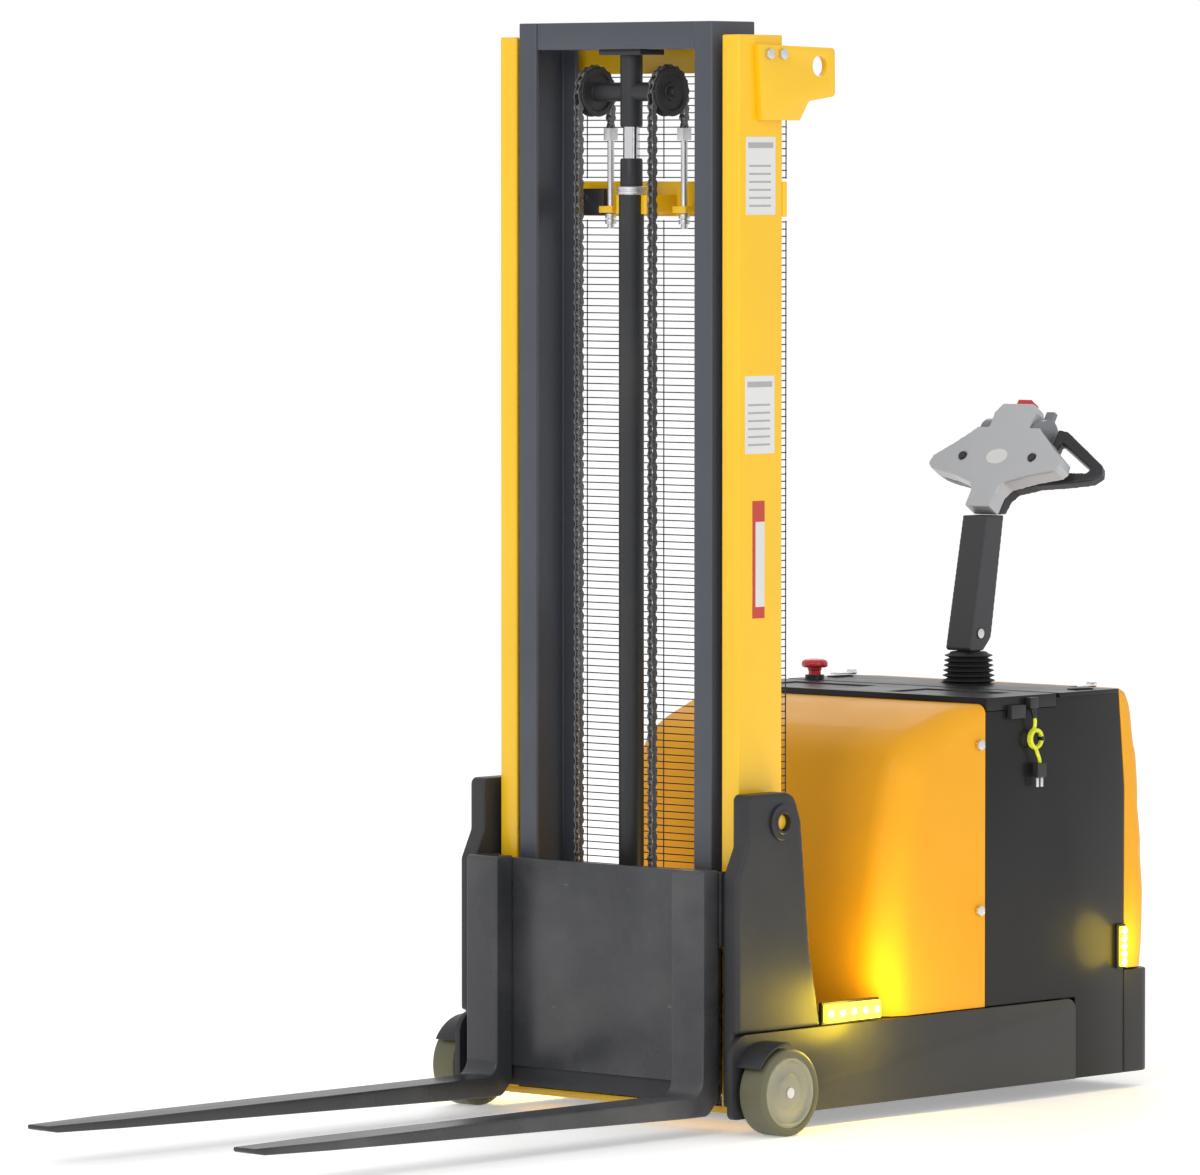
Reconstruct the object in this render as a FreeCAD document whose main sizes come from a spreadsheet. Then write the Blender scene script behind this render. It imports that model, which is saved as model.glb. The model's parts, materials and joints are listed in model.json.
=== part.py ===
import FreeCAD, Part
import Sketcher
import math
import os

# Walkie stacker: counterbalanced pedestrian truck with a two-stage mast.
# Frame: +Z up, forks towards -Y, tiller towards +Y; left is -X and right is +X.
# The origin is on the floor under the middle of the whole machine.
# Lengths are in millimetres; Y is first measured from the mast's front face, then shifted.

# ---------------------------------------------------------------- driving dimensions
DIMENSIONS = {
    # moving (inner) mast
    "inner_half_width": 232, "inner_channel_width": 42, "inner_depth": 114,
    "inner_top": 1955, "inner_bottom": 62, "inner_web": 10, "inner_flange": 9,
    "top_bar_height": 48, "tie_bar_height": 60, "tie_bar_bottom": 92,
    # fixed (outer) mast
    "outer_half_width": 287.5, "outer_channel_width": 40.6, "outer_front": 10,
    "outer_depth": 115, "outer_top": 1931, "outer_bottom": 43, "outer_web": 12,
    "outer_flange": 9, "beam_plate": 12, "mid_beam_bottom": 1611, "mid_beam_top": 1673,
    "top_beam_bottom": 1865, "top_beam_top": 1910, "base_plate": 12,
    # guard behind the mast
    "guard_half_width": 281, "guard_wire": 4, "guard_pitch": 52, "guard_column": 87,
    "guard_return": 18, "guard_bottom": 200, "guard_top": 1862,
    # lifting lugs on top of the mast
    "lug_plate": 12, "lug_hole_radius": 19, "lug_hole_reach": 211, "lug_hole_height": 1877,
    "bolt_radius": 6, "bolt_head_radius": 10, "bolt_head": 7,
    # lift cylinder, ram and sheaves
    "cylinder_reach": 45, "barrel_radius": 22.5, "barrel_bore": 19, "barrel_top": 1650,
    "gland_radius": 20, "gland_top": 1714, "rod_radius": 15, "ram_head_radius": 20,
    "ram_head_bottom": 1770, "crosshead_width": 100, "crosshead_plate": 10,
    "sheave_offset": 88.5, "sheave_height": 1832, "sheave_flange_radius": 44,
    "sheave_root_radius": 34, "sheave_pitch_radius": 42, "sheave_width": 20,
    "shaft_radius": 9, "chain_width": 14, "chain_plate": 15, "chain_bottom": 432,
    "rear_chain_bottom": 1768,
    # rollers
    "mast_roller_radius": 46, "carriage_roller_radius": 45, "roller_width": 24,
    # carriage and forks
    "carriage_front": -40, "carriage_plate": 12, "carriage_bottom": 52, "carriage_top": 462,
    "carriage_half_width": 280, "shank_bottom": 34, "fork_half_span": 285.6,
    "fork_width": 75, "shank_front": -82, "shank_top": 466, "blade_top": 70,
    "tip_thickness": 13, "fork_length": 1100, "heel_radius": 30,
    "fork_tip_width": 50, "bracket_plate": 8,
    # front wheels
    "wheel_radius": 77, "wheel_width": 56, "wheel_middle": 372, "wheel_reach": 23,
    "tread": 15, "axle_radius": 12.5,
    # chassis
    "skirt_outer": 335, "skirt_plate": 12, "skirt_front": -60, "skirt_rear": 885,
    "skirt_bottom": 30, "skirt_top": 178, "arm_inner": 300, "arm_top": 599,
    "trunnion_reach": 72, "trunnion_height": 547, "trunnion_radius": 15,
    "floor_bottom": 60, "floor_plate": 10,
    # body
    "body_half_width": 330, "body_wall": 4, "bonnet_front": 355, "bonnet_rear": 634,
    "body_corner": 50, "lid_rear": 830, "deck_front": 842, "deck_rear": 1012,
    "body_top": 740, "panel_rear": 1030, "bumper_front": 1030, "bumper_rear": 1112,
    "bumper_top": 220, "bumper_wall": 8,
    # steering column, drive wheel and tiller
    "steer_reach": 975, "column_radius": 29, "boot_radius": 50, "boot_height": 58,
    "drive_radius": 105, "drive_width": 76, "drive_swing": 97, "pivot_lift": 34, "pivot_pin_radius": 9,
    "arm_width": 58, "arm_rise": 218, "head_lean": 33, "head_reach": 1016,
    "head_top": 214, "head_back": 32, "grip_sweep": 18,
    # controls and fittings
    "throttle_radius": 28, "throttle_inner": 50, "throttle_width": 24, "throttle_bar_radius": 5, "throttle_travel_gap": 1.5, "button_radius": 8,
    "estop_radius": 25, "estop_reach": 838, "estop_side": 280,
    "latch_side": 292, "latch_reach": 962, "latch_length": 76,
    # clearances
    "running_gap": 0.05, "clear_gap": 0.3, "sliding_gap": 1.5,
}

doc = FreeCAD.newDocument("walkie_stacker")
sheet = doc.addObject("Spreadsheet::Sheet", "sizes")
for row, (alias, number) in enumerate(DIMENSIONS.items(), start=1):
    sheet.set(f"A{row}", alias)
    sheet.set(f"B{row}", str(number))
    sheet.setAlias(f"B{row}", alias)
doc.recompute()


class Size:
    """A length as spreadsheet text, with its present value alongside."""

    def __init__(self, text, value):
        self.text = text
        self.value = value

    def _join(self, sign, other, value):
        return Size(f"({self.text} {sign} {as_size(other).text})", value)

    def __add__(self, other):
        return self._join("+", other, self.value + as_size(other).value)

    def __sub__(self, other):
        return self._join("-", other, self.value - as_size(other).value)

    def __mul__(self, other):
        return self._join("*", other, self.value * as_size(other).value)

    def __truediv__(self, other):
        return self._join("/", other, self.value / as_size(other).value)

    def __radd__(self, other):
        return as_size(other) + self

    def __rsub__(self, other):
        return as_size(other) - self

    def __rmul__(self, other):
        return as_size(other) * self

    def __neg__(self):
        return Size(f"(0 - {self.text})", -self.value)


def as_size(number):
    return number if isinstance(number, Size) else Size(f"({number})", number)


class Sizes:
    """Gives every spreadsheet alias as a Size: S.fork_length and so on."""

    def __getattr__(self, alias):
        return Size(f"sizes.{alias}", float(sheet.get(alias)))


S = Sizes()
LEAN = math.radians(S.head_lean.value)
BOOT_TOP = S.body_top + S.boot_height
PIVOT_HEIGHT = BOOT_TOP + S.pivot_lift
HEAD_HEIGHT = PIVOT_HEIGHT + S.arm_rise
REAR_REACH = S.head_reach + S.head_top * math.sin(LEAN) + S.head_back * math.cos(LEAN)
SHIFT = (S.fork_length - S.shank_front - REAR_REACH) / 2   # mast front face to the origin, in Y
SIDES = (("left", -1), ("right", 1))
nodes = {}


# ---------------------------------------------------------------- building blocks
def bind(obj, prop, size):
    size = as_size(size)
    obj.setExpression(prop, size.text)


def place(obj, x, y, z, rotation=None):
    """Bind the placement; y is measured from the mast front."""
    start = FreeCAD.Vector(as_size(x).value, as_size(y).value + SHIFT.value, as_size(z).value)
    obj.Placement = FreeCAD.Placement(start, rotation or FreeCAD.Rotation())
    bind(obj, "Placement.Base.x", x)
    bind(obj, "Placement.Base.y", as_size(y) + SHIFT)
    bind(obj, "Placement.Base.z", z)
    return obj


def box(x_range, y_range, z_range):
    obj = doc.addObject("Part::Box", "Box")
    for prop, (low, high) in zip(("Length", "Width", "Height"), (x_range, y_range, z_range)):
        bind(obj, prop, as_size(high) - low)
    return place(obj, x_range[0], y_range[0], z_range[0])


AXIS_TURN = {
    "x": FreeCAD.Rotation(FreeCAD.Vector(0, 1, 0), 90),
    "y": FreeCAD.Rotation(FreeCAD.Vector(1, 0, 0), -90),
    "z": FreeCAD.Rotation(),
}


def cylinder(axis, radius, start, end, centre):
    """A cylinder along an axis; centre holds its other two coordinates in x, y, z order."""
    obj = doc.addObject("Part::Cylinder", "Cylinder")
    bind(obj, "Radius", radius)
    bind(obj, "Height", as_size(end) - start)
    spot = list(centre)
    spot.insert("xyz".index(axis), start)
    return place(obj, *spot, AXIS_TURN[axis])


def fuse(*pieces):
    obj = doc.addObject("Part::MultiFuse", "Fuse")
    obj.Shapes = list(pieces)
    obj.Refine = True
    return obj


def group(*pieces):
    obj = doc.addObject("Part::Compound", "Group")
    obj.Links = list(pieces)
    return obj


def cut(base, *tools):
    obj = doc.addObject("Part::Cut", "Cut")
    obj.Base = base
    obj.Tool = tools[0] if len(tools) == 1 else group(*tools)
    obj.Refine = True
    return obj


def node(name, obj):
    obj.Label = name
    nodes[name] = obj
    return obj


# each sketch plane: origin role, then which way its pad's start offset runs
PLANES = {"XY": ("XY_Plane", 1), "YZ": ("YZ_Plane", 1), "XZ": ("XZ_Plane", -1)}


def outline(plane, points, start, end, rounds=(), turn=None, base=None):
    """A padded polygon. Points are pairs of sizes; rounds are (point index, radius) pairs."""
    role, sign = PLANES[plane]
    body = doc.addObject("PartDesign::Body", "Body")
    sketch = body.newObject("Sketcher::SketchObject", "Sketch")
    origin_plane = [item for item in body.Origin.OriginFeatures if item.Role == role][0]
    sketch.AttachmentSupport = [(origin_plane, "")]
    sketch.MapMode = "FlatFace"
    low = as_size(start) if sign > 0 else -as_size(end)
    bind(sketch, "AttachmentOffset.Base.z", low)
    sized = [(as_size(a), as_size(b)) for a, b in points]
    spots = [FreeCAD.Vector(a.value, b.value, 0) for a, b in sized]
    for index, spot in enumerate(spots):
        sketch.addGeometry(Part.LineSegment(spot, spots[(index + 1) % len(spots)]), False)
    for index in range(len(spots)):
        following = (index + 1) % len(spots)
        sketch.addConstraint(Sketcher.Constraint("Coincident", index, 2, following, 1))
    for index, (a, b) in enumerate(sized):
        for kind, size in (("DistanceX", a), ("DistanceY", b)):
            made = sketch.addConstraint(Sketcher.Constraint(kind, -1, 1, index, 1, size.value))
            sketch.setExpression(f"Constraints[{made}]", size.text)
    pad = body.newObject("PartDesign::Pad", "Pad")
    pad.Profile = sketch
    bind(pad, "Length", as_size(end) - start)
    corner = base or (0, 0, 0)
    place(body, corner[0], corner[1], corner[2], turn)
    doc.recompute([body])
    for index, radius in rounds:
        round_corner(body, spots[index], sketch, radius)
    return body


def round_corner(body, spot, sketch, radius):
    """Fillet the edge that runs up from one outline point."""
    tip = body.Tip
    level = sketch.Placement.multVec(spot)
    normal = sketch.Placement.Rotation.multVec(FreeCAD.Vector(0, 0, 1))
    chosen = []
    for number, edge in enumerate(tip.Shape.Edges, start=1):
        if len(edge.Vertexes) != 2:
            continue
        offsets = [vertex.Point - level for vertex in edge.Vertexes]
        if all((offset - normal * offset.dot(normal)).Length < 1e-4 for offset in offsets):
            chosen.append(f"Edge{number}")
    fillet = body.newObject("PartDesign::Fillet", "Round")
    fillet.Base = (tip, chosen)
    fillet.Radius = as_size(radius).value
    body.Tip = fillet
    doc.recompute([body])


def feature(shape):
    """A freely formed piece, already in mast-front coordinates."""
    obj = doc.addObject("Part::Feature", "Form")
    obj.Shape = shape
    obj.Placement = FreeCAD.Placement(FreeCAD.Vector(0, SHIFT.value, 0), FreeCAD.Rotation())
    bind(obj, "Placement.Base.y", SHIFT)
    return obj


def value(alias):
    return getattr(S, alias).value


def span(side, inner, outer):
    """An X range between two distances from the middle, on one side."""
    return (inner, outer) if side > 0 else (-as_size(outer), -as_size(inner))


def mid(side, distance):
    return as_size(distance) if side > 0 else -as_size(distance)


def hex_bolt(axis, head_side, start, end, centre):
    """A bolt shank with a hexagon head at one end (head_side -1: at start, 1: at end)."""
    shank = cylinder(axis, S.bolt_radius, start, end, centre)
    head = doc.addObject("Part::Prism", "Hexagon")
    head.Polygon = 6
    bind(head, "Circumradius", S.bolt_head_radius)
    bind(head, "Height", S.bolt_head)
    spot = list(centre)
    spot.insert("xyz".index(axis), as_size(end) if head_side > 0 else as_size(start) - S.bolt_head)
    place(head, *spot, AXIS_TURN[axis])
    return fuse(shank, head)


# ---------------------------------------------------------------- fixed mast
def channel(side, half_width, width, front, depth, web, flange, bottom, top):
    """A rolled channel, open towards the middle of the truck."""
    outside = box(span(side, half_width - width, half_width), (front, front + depth), (bottom, top))
    hollow = box(span(side, half_width - width - 1, half_width - web),
                 (front + flange, front + depth - flange), (bottom - 1, top + 1))
    return cut(outside, hollow)


def build_outer_mast():
    rear = S.outer_front + S.outer_depth
    for name, side in SIDES:
        rail = channel(side, S.outer_half_width, S.outer_channel_width, S.outer_front,
                       S.outer_depth, S.outer_web, S.outer_flange, S.outer_bottom, S.outer_top)
        pad = cylinder("x", 36, *span(side, S.outer_half_width, S.arm_inner - S.clear_gap),
                       (S.trunnion_reach, S.trunnion_height))
        pin = cylinder("x", S.trunnion_radius, *span(side, S.outer_half_width, S.skirt_outer - 3),
                       (S.trunnion_reach, S.trunnion_height))
        node(f"mast_channel_{name}", group(rail, fuse(pad, pin)))
    across = (-S.outer_half_width, S.outer_half_width)
    top_beam = box(across, (rear + 10, rear + 10 + S.beam_plate),
                   (S.top_beam_bottom, S.top_beam_top))
    straps = [box(span(side, S.outer_half_width - 14, S.outer_half_width), (rear, rear + 10),
                  (S.top_beam_bottom, S.top_beam_top)) for _, side in SIDES]
    top_beam = fuse(top_beam, *straps)
    mid_plate = box(across, (rear, rear + S.beam_plate), (S.mid_beam_bottom, S.mid_beam_top))
    saddle_width = S.barrel_radius + 14
    saddle = box((-saddle_width, saddle_width), (S.cylinder_reach, rear),
                 (S.mid_beam_bottom + 4, S.barrel_top - 1))
    bore = cylinder("z", S.barrel_radius + S.clear_gap, S.mid_beam_bottom, S.mid_beam_top,
                    (0, S.cylinder_reach))
    shelf = [box(span(side, S.sheave_offset - 16, S.sheave_offset + 16),
                 (S.cylinder_reach + S.sheave_pitch_radius - 14, rear),
                 (S.mid_beam_bottom + 6, S.mid_beam_bottom + 18)) for _, side in SIDES]
    rod_holes = [cylinder("z", S.bolt_radius + S.clear_gap, S.mid_beam_bottom, S.mid_beam_top,
                          (mid(side, S.sheave_offset), S.cylinder_reach + S.sheave_pitch_radius))
                 for _, side in SIDES]
    shelves = [cut(plate, hole) for plate, hole in zip(shelf, rod_holes)]
    base = box(across, (S.outer_front + 4, rear + 10), (S.outer_bottom - S.base_plate,
                                                     S.outer_bottom))
    node("mast_crossbeams", group(top_beam, mid_plate, cut(saddle, bore), *shelves, base))


def build_guard():
    """Welded wire guard in two panels, above and below the middle beam, sides bent back."""
    panels = ((S.guard_bottom, S.mid_beam_bottom - 6), (S.mid_beam_top + 4, S.guard_top))
    solids = []
    wire = value("guard_wire")
    half = value("guard_half_width")
    depth = (value("outer_front") + value("outer_depth") + 3, wire)
    for low, high in panels:
        bottom, top = low.value, high.value
        bars = [Part.makeBox(2 * half, wire, wire, FreeCAD.Vector(-half, depth[0], bottom)),
                Part.makeBox(2 * half, wire, wire, FreeCAD.Vector(-half, depth[0], top - wire))]
        rows = int((top - bottom) // value("guard_pitch"))
        levels = [bottom + row * (top - bottom) / rows for row in range(1, rows)]
        for level in levels:
            bars.append(Part.makeBox(2 * half, wire, wire, FreeCAD.Vector(-half, depth[0], level)))
        for edge_x in (-half, half - wire):
            back = value("guard_return")
            bars.append(Part.makeBox(wire, wire, top - bottom,
                                     FreeCAD.Vector(edge_x, depth[0] + back - wire, bottom)))
            bars += [Part.makeBox(wire, back, wire, FreeCAD.Vector(edge_x, depth[0], level))
                     for level in (bottom, *levels, top - wire)]
        columns = int(2 * half // value("guard_column")) + 1
        for column in range(columns + 1):
            place_x = -half + column * (2 * half - wire) / columns
            bars.append(Part.makeBox(wire, wire, top - bottom,
                                     FreeCAD.Vector(place_x, depth[0], bottom)))
        solids.append(bars[0].multiFuse(bars[1:]).removeSplitter())
    clip_size = (12, depth[0] - value("outer_front") - value("outer_depth"), 10)
    for low, high in panels:
        for side in (-1, 1):
            for level in (low.value + 30, high.value - 40):
                corner = FreeCAD.Vector(side * (half - 6) - 6,
                                        value("outer_front") + value("outer_depth"), level)
                solids.append(Part.makeBox(*clip_size, corner))
    node("mast_guard", feature(Part.Compound(solids)))


def build_lugs():
    """Gusset plates on top of the fixed mast, each with a lifting eye."""
    edge = [(49, 1914), (251, 1909), (252, 1824), (182, 1815), (158, 1781), (57, 1781)]
    lugs = []
    for _, side in SIDES:
        x_range = span(side, S.outer_half_width, S.outer_half_width + S.lug_plate)
        plate = outline("YZ", edge, *x_range, rounds=((1, 8), (2, 8), (3, 10)))
        eye = cylinder("x", S.lug_hole_radius, x_range[0] - 1, x_range[1] + 1,
                       (S.lug_hole_reach, S.lug_hole_height))
        bolt_holes = [cylinder("x", S.bolt_radius + S.clear_gap, x_range[0] - 1, x_range[1] + 1,
                               (reach, 1897)) for reach in (75, 110)]
        lugs.append(cut(plate, eye, *bolt_holes))
    node("mast_lugs", group(*lugs))


def build_lug_bolts():
    bolts = []
    for _, side in SIDES:
        x_range = span(side, S.outer_half_width, S.outer_half_width + S.lug_plate)
        bolts += [hex_bolt("x", side, *x_range, (reach, 1897)) for reach in (75, 110)]
    return bolts


# ---------------------------------------------------------------- moving mast
def build_inner_mast():
    for name, side in SIDES:
        rail = channel(side, S.inner_half_width, S.inner_channel_width, 0, S.inner_depth,
                       S.inner_web, S.inner_flange, S.inner_bottom, S.inner_top)
        stub = cylinder("x", S.shaft_radius, *span(side, S.inner_half_width,
                        S.outer_half_width - S.outer_web - 1), roller_centre())
        node(f"inner_channel_{name}", group(rail, stub))
    clear_half = S.inner_half_width - S.inner_channel_width
    across = (-clear_half, clear_half)
    top_bar = box(across, (2, S.inner_depth - 2), (S.inner_top - S.top_bar_height, S.inner_top))
    tie_bar = box(across, (S.inner_depth - 12, S.inner_depth),
                  (S.tie_bar_bottom, S.tie_bar_bottom + S.tie_bar_height))
    node("inner_crossbars", group(top_bar, tie_bar))
    build_rollers("mast_rollers", S.mast_roller_radius, S.inner_half_width + S.sliding_gap,
                  roller_centre())


def roller_centre():
    return (S.outer_front + S.outer_depth / 2, S.inner_bottom + S.mast_roller_radius + 20)


def build_rollers(name, radius, inner, centre):
    """A left and a right roller on one axis."""
    rollers = []
    for _, side in SIDES:
        x_range = span(side, inner, inner + S.roller_width)
        wheel = cylinder("x", radius, *x_range, centre)
        bore = cylinder("x", S.shaft_radius + S.running_gap, x_range[0] - 1, x_range[1] + 1,
                        centre)
        rollers.append(cut(wheel, bore))
    node(name, group(*rollers))


def build_cylinder():
    axis = (0, S.cylinder_reach)
    tube = cylinder("z", S.barrel_radius, S.outer_bottom, S.barrel_top, axis)
    bore = cylinder("z", S.barrel_bore, S.outer_bottom + 20, S.barrel_top + 1, axis)
    gland = cylinder("z", S.gland_radius, S.barrel_top, S.gland_top, axis)
    collar = cylinder("z", S.barrel_radius + 4, S.barrel_top, S.barrel_top + 14, axis)
    rod_way = cylinder("z", S.rod_radius + S.running_gap, S.barrel_top - 1, S.gland_top + 1, axis)
    node("lift_cylinder", group(cut(tube, bore), cut(fuse(gland, collar), rod_way)))
    rod = cylinder("z", S.rod_radius, S.outer_bottom + 60, S.ram_head_bottom, axis)
    piston = cylinder("z", S.barrel_bore - S.running_gap, S.outer_bottom + 60,
                      S.outer_bottom + 110, axis)
    bar_bottom = S.inner_top - S.top_bar_height
    head = cylinder("z", S.ram_head_radius, S.ram_head_bottom, bar_bottom - S.crosshead_plate,
                    axis)
    plate = box((-S.crosshead_width / 2, S.crosshead_width / 2),
                (S.cylinder_reach - 32, S.cylinder_reach + 32),
                (bar_bottom - S.crosshead_plate, bar_bottom))
    shaft = cylinder("x", S.shaft_radius, -(S.sheave_offset + 18), S.sheave_offset + 18,
                     (S.cylinder_reach, S.sheave_height))
    boss = cylinder("x", S.shaft_radius + 8, -(S.sheave_offset - S.sheave_width / 2 - 2),
                    S.sheave_offset - S.sheave_width / 2 - 2,
                    (S.cylinder_reach, S.sheave_height))
    node("ram", fuse(rod, piston, head, plate, shaft, boss))
    for name, side in SIDES:
        half = S.sheave_width / 2
        centre = (S.cylinder_reach, S.sheave_height)
        inner = S.sheave_offset - half
        outer = S.sheave_offset + half
        core = cylinder("x", S.sheave_root_radius, *span(side, inner, outer), centre)
        flanges = [cylinder("x", S.sheave_flange_radius, *span(side, inner, inner + 2.5), centre),
                   cylinder("x", S.sheave_flange_radius, *span(side, outer - 2.5, outer), centre)]
        bore = cylinder("x", S.shaft_radius + S.running_gap, *span(side, inner - 1, outer + 1),
                        centre)
        node(f"sheave_{name}", cut(fuse(core, *flanges), bore))


def build_chains():
    """Leaf chains as plain bars: front strands to the carriage, rear strands to the anchors."""
    front, rear, anchors = [], [], []
    front_reach = S.cylinder_reach - S.sheave_pitch_radius
    rear_reach = S.cylinder_reach + S.sheave_pitch_radius
    for _, side in SIDES:
        x_range = span(side, S.sheave_offset - S.chain_width / 2,
                       S.sheave_offset + S.chain_width / 2)
        front.append(box(x_range, (front_reach - S.chain_plate / 2, front_reach +
                                   S.chain_plate / 2), (S.chain_bottom, S.sheave_height)))
        rear.append(box(x_range, (rear_reach - S.chain_plate / 2, rear_reach +
                                  S.chain_plate / 2), (S.rear_chain_bottom, S.sheave_height)))
        spot = (mid(side, S.sheave_offset), rear_reach)
        rod = cylinder("z", S.bolt_radius, S.mid_beam_bottom - 22, S.rear_chain_bottom - 22, spot)
        clevis = box(x_range, (rear_reach - 11, rear_reach + 11),
                     (S.rear_chain_bottom - 22, S.rear_chain_bottom))
        nuts = [cylinder("z", S.bolt_head_radius, level, level + 8, spot)
                for level in (S.mid_beam_bottom - 4, S.mid_beam_bottom - 14)]
        anchors.append(fuse(rod, clevis, *nuts))
    node("lift_chains_front", group(*front))
    node("lift_chains_rear", group(*rear))
    node("chain_anchors", group(*anchors))


# ---------------------------------------------------------------- carriage and forks
def carriage_roller_centres():
    reach = S.inner_depth / 2
    return ((reach, S.carriage_bottom + 90), (reach, S.carriage_top - 90))


def build_carriage():
    half = S.carriage_half_width
    face = (S.carriage_front, S.carriage_front + S.carriage_plate)
    plate = box((-half, half), face, (S.carriage_bottom + 36, S.carriage_top))
    back = face[1]
    lower = box((-half + 6, half - 6), (face[0] + 6, back + 8),
                (S.carriage_bottom, S.carriage_bottom + 36))
    side_bars, chain_lugs = [], []
    roller_inner = S.inner_half_width - S.inner_channel_width + 2
    for _, side in SIDES:
        bar = box(span(side, roller_inner - 32, roller_inner - 8), (back, S.inner_depth - 22),
                  (S.carriage_bottom + 40, S.carriage_top - 30))
        shafts = [cylinder("x", S.shaft_radius, *span(side, roller_inner - 20, roller_inner +
                           S.roller_width), centre) for centre in carriage_roller_centres()]
        side_bars.append(fuse(bar, *shafts))
        lug_x = span(side, S.sheave_offset - 12, S.sheave_offset + 12)
        chain_lugs.append(box(lug_x, (back, S.cylinder_reach - S.sheave_pitch_radius +
                                      S.chain_plate), (S.chain_bottom - 40, S.chain_bottom)))
    cross = [box((-(roller_inner - 32), roller_inner - 32), (back, back + 14), (low, low + 60))
             for low in (S.carriage_bottom + 40, S.carriage_top - 132)]
    node("carriage_frame", group(lower, *side_bars, *chain_lugs, *cross))
    for name, centre in zip(("lower", "upper"), carriage_roller_centres()):
        build_rollers(f"carriage_rollers_{name}", S.carriage_roller_radius, roller_inner, centre)
    brackets = [plate]
    for _, side in SIDES:
        x_range = span(side, S.carriage_half_width, S.carriage_half_width + S.bracket_plate)
        brackets.append(box(x_range, (S.carriage_front + 2, -1), (330, 463)))
        for level in (355, 438):
            brackets.append(hex_bolt("x", side, *span(side, S.carriage_half_width +
                                     S.bracket_plate, S.carriage_half_width + S.bracket_plate + 1),
                                     (S.carriage_front + 26, level)))
    node("carriage_plate", group(*brackets))


def build_forks():
    """L-shaped forks: a shank on the carriage face and a tapered blade along the floor."""
    shank_back = S.carriage_front
    tip = S.shank_front - S.fork_length
    top = S.blade_top
    edge = [(shank_back, S.shank_bottom + 26), (shank_back, S.shank_top),
            (S.shank_front, S.shank_top), (S.shank_front, top),
            (tip, top), (tip, top - S.tip_thickness * 0.6),
            (tip + 26, top - S.tip_thickness), (S.shank_front - 40, S.shank_bottom),
            (shank_back - 26, S.shank_bottom)]
    for name, side in SIDES:
        x_range = span(side, S.fork_half_span - S.fork_width, S.fork_half_span)
        profile = outline("YZ", edge, *x_range, rounds=((3, S.heel_radius), (2, 8), (8, 22),
                                                        (0, 22)))
        middle = S.fork_half_span - S.fork_width / 2
        half = S.fork_width / 2
        taper = outline("XY", [(mid(side, middle) - half, 60), (mid(side, middle) - half, tip + 170),
                               (mid(side, middle) - S.fork_tip_width / 2, tip - 0.5),
                               (mid(side, middle) + S.fork_tip_width / 2, tip - 0.5),
                               (mid(side, middle) + half, tip + 170),
                               (mid(side, middle) + half, 60)], 0, S.shank_top + 10)
        fork = doc.addObject("Part::Common", "Fork")
        fork.Base = profile
        fork.Tool = taper
        node(f"fork_{name}", fork)


# ---------------------------------------------------------------- chassis
def build_front_wheels():
    axle_inner = S.arm_inner - 10
    axles = []
    for name, side in SIDES:
        inner = S.wheel_middle - S.wheel_width / 2
        outer = S.wheel_middle + S.wheel_width / 2
        centre = (S.wheel_reach, S.wheel_radius)
        tread = cylinder("x", S.wheel_radius, *span(side, inner, outer), centre)
        rim_hole = cylinder("x", S.wheel_radius - S.tread, *span(side, inner - 1, outer + 1),
                            centre)
        tread = cut(tread, rim_hole)
        hub = cylinder("x", S.wheel_radius - S.tread, *span(side, inner + 2, outer - 2), centre)
        dish = cylinder("x", S.wheel_radius - S.tread - 8, *span(side, outer - 10, outer + 1),
                        centre)
        cap = cylinder("x", 24, *span(side, outer - 12, outer - 1), centre)
        bore = cylinder("x", S.axle_radius + S.running_gap, *span(side, inner, outer - 16), centre)
        node(f"front_wheel_{name}", group(tread, cut(fuse(cut(hub, dish), cap), bore)))
        axles.append(cylinder("x", S.axle_radius, *span(side, axle_inner, outer - 17), centre))
    node("front_axles", group(*axles))


def build_skirts():
    wheel_centre = (S.wheel_reach, S.wheel_radius)
    skirts, arms = [], []
    for _, side in SIDES:
        x_range = span(side, S.skirt_outer - S.skirt_plate, S.skirt_outer)
        plate = outline("YZ", [(S.skirt_front, S.skirt_bottom), (S.skirt_rear, S.skirt_bottom),
                               (S.skirt_rear, S.skirt_top), (S.skirt_front, S.skirt_top)],
                        *x_range, rounds=((3, 40), (2, 22), (0, 12)))
        axle_hole = cylinder("x", S.axle_radius + S.running_gap, x_range[0] - 1, x_range[1] + 1,
                             wheel_centre)
        skirts.append(cut(plate, axle_hole))
        arm_edge = [(-46, S.skirt_top + 2), (-46, 454), (-20, 505), (-20, S.arm_top),
                    (104, S.arm_top), (124, 547), (147, 318), (176, S.skirt_top + 2)]
        arm_x = span(side, S.arm_inner, S.skirt_outer)
        upper = outline("YZ", arm_edge, *arm_x, rounds=((4, 34), (3, 12), (5, 40)))
        foot = box(span(side, S.arm_inner, S.skirt_outer - S.skirt_plate), (-46, 172),
                   (50, S.skirt_top + 4))
        pin_hole = cylinder("x", S.trunnion_radius + S.clear_gap, arm_x[0] - 1, arm_x[1] + 1,
                            (S.trunnion_reach, S.trunnion_height))
        foot_hole = cylinder("x", S.axle_radius + S.running_gap, arm_x[0] - 1, arm_x[1] + 1,
                             wheel_centre)
        boss = cylinder("x", 46, *arm_x, (S.trunnion_reach, S.trunnion_height))
        arms.append(cut(fuse(upper, boss, foot), pin_hole, foot_hole))
        skirts.append(wheel_guard(side))
    node("chassis_skirts", group(*skirts))
    node("mast_arms", group(*arms))


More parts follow.
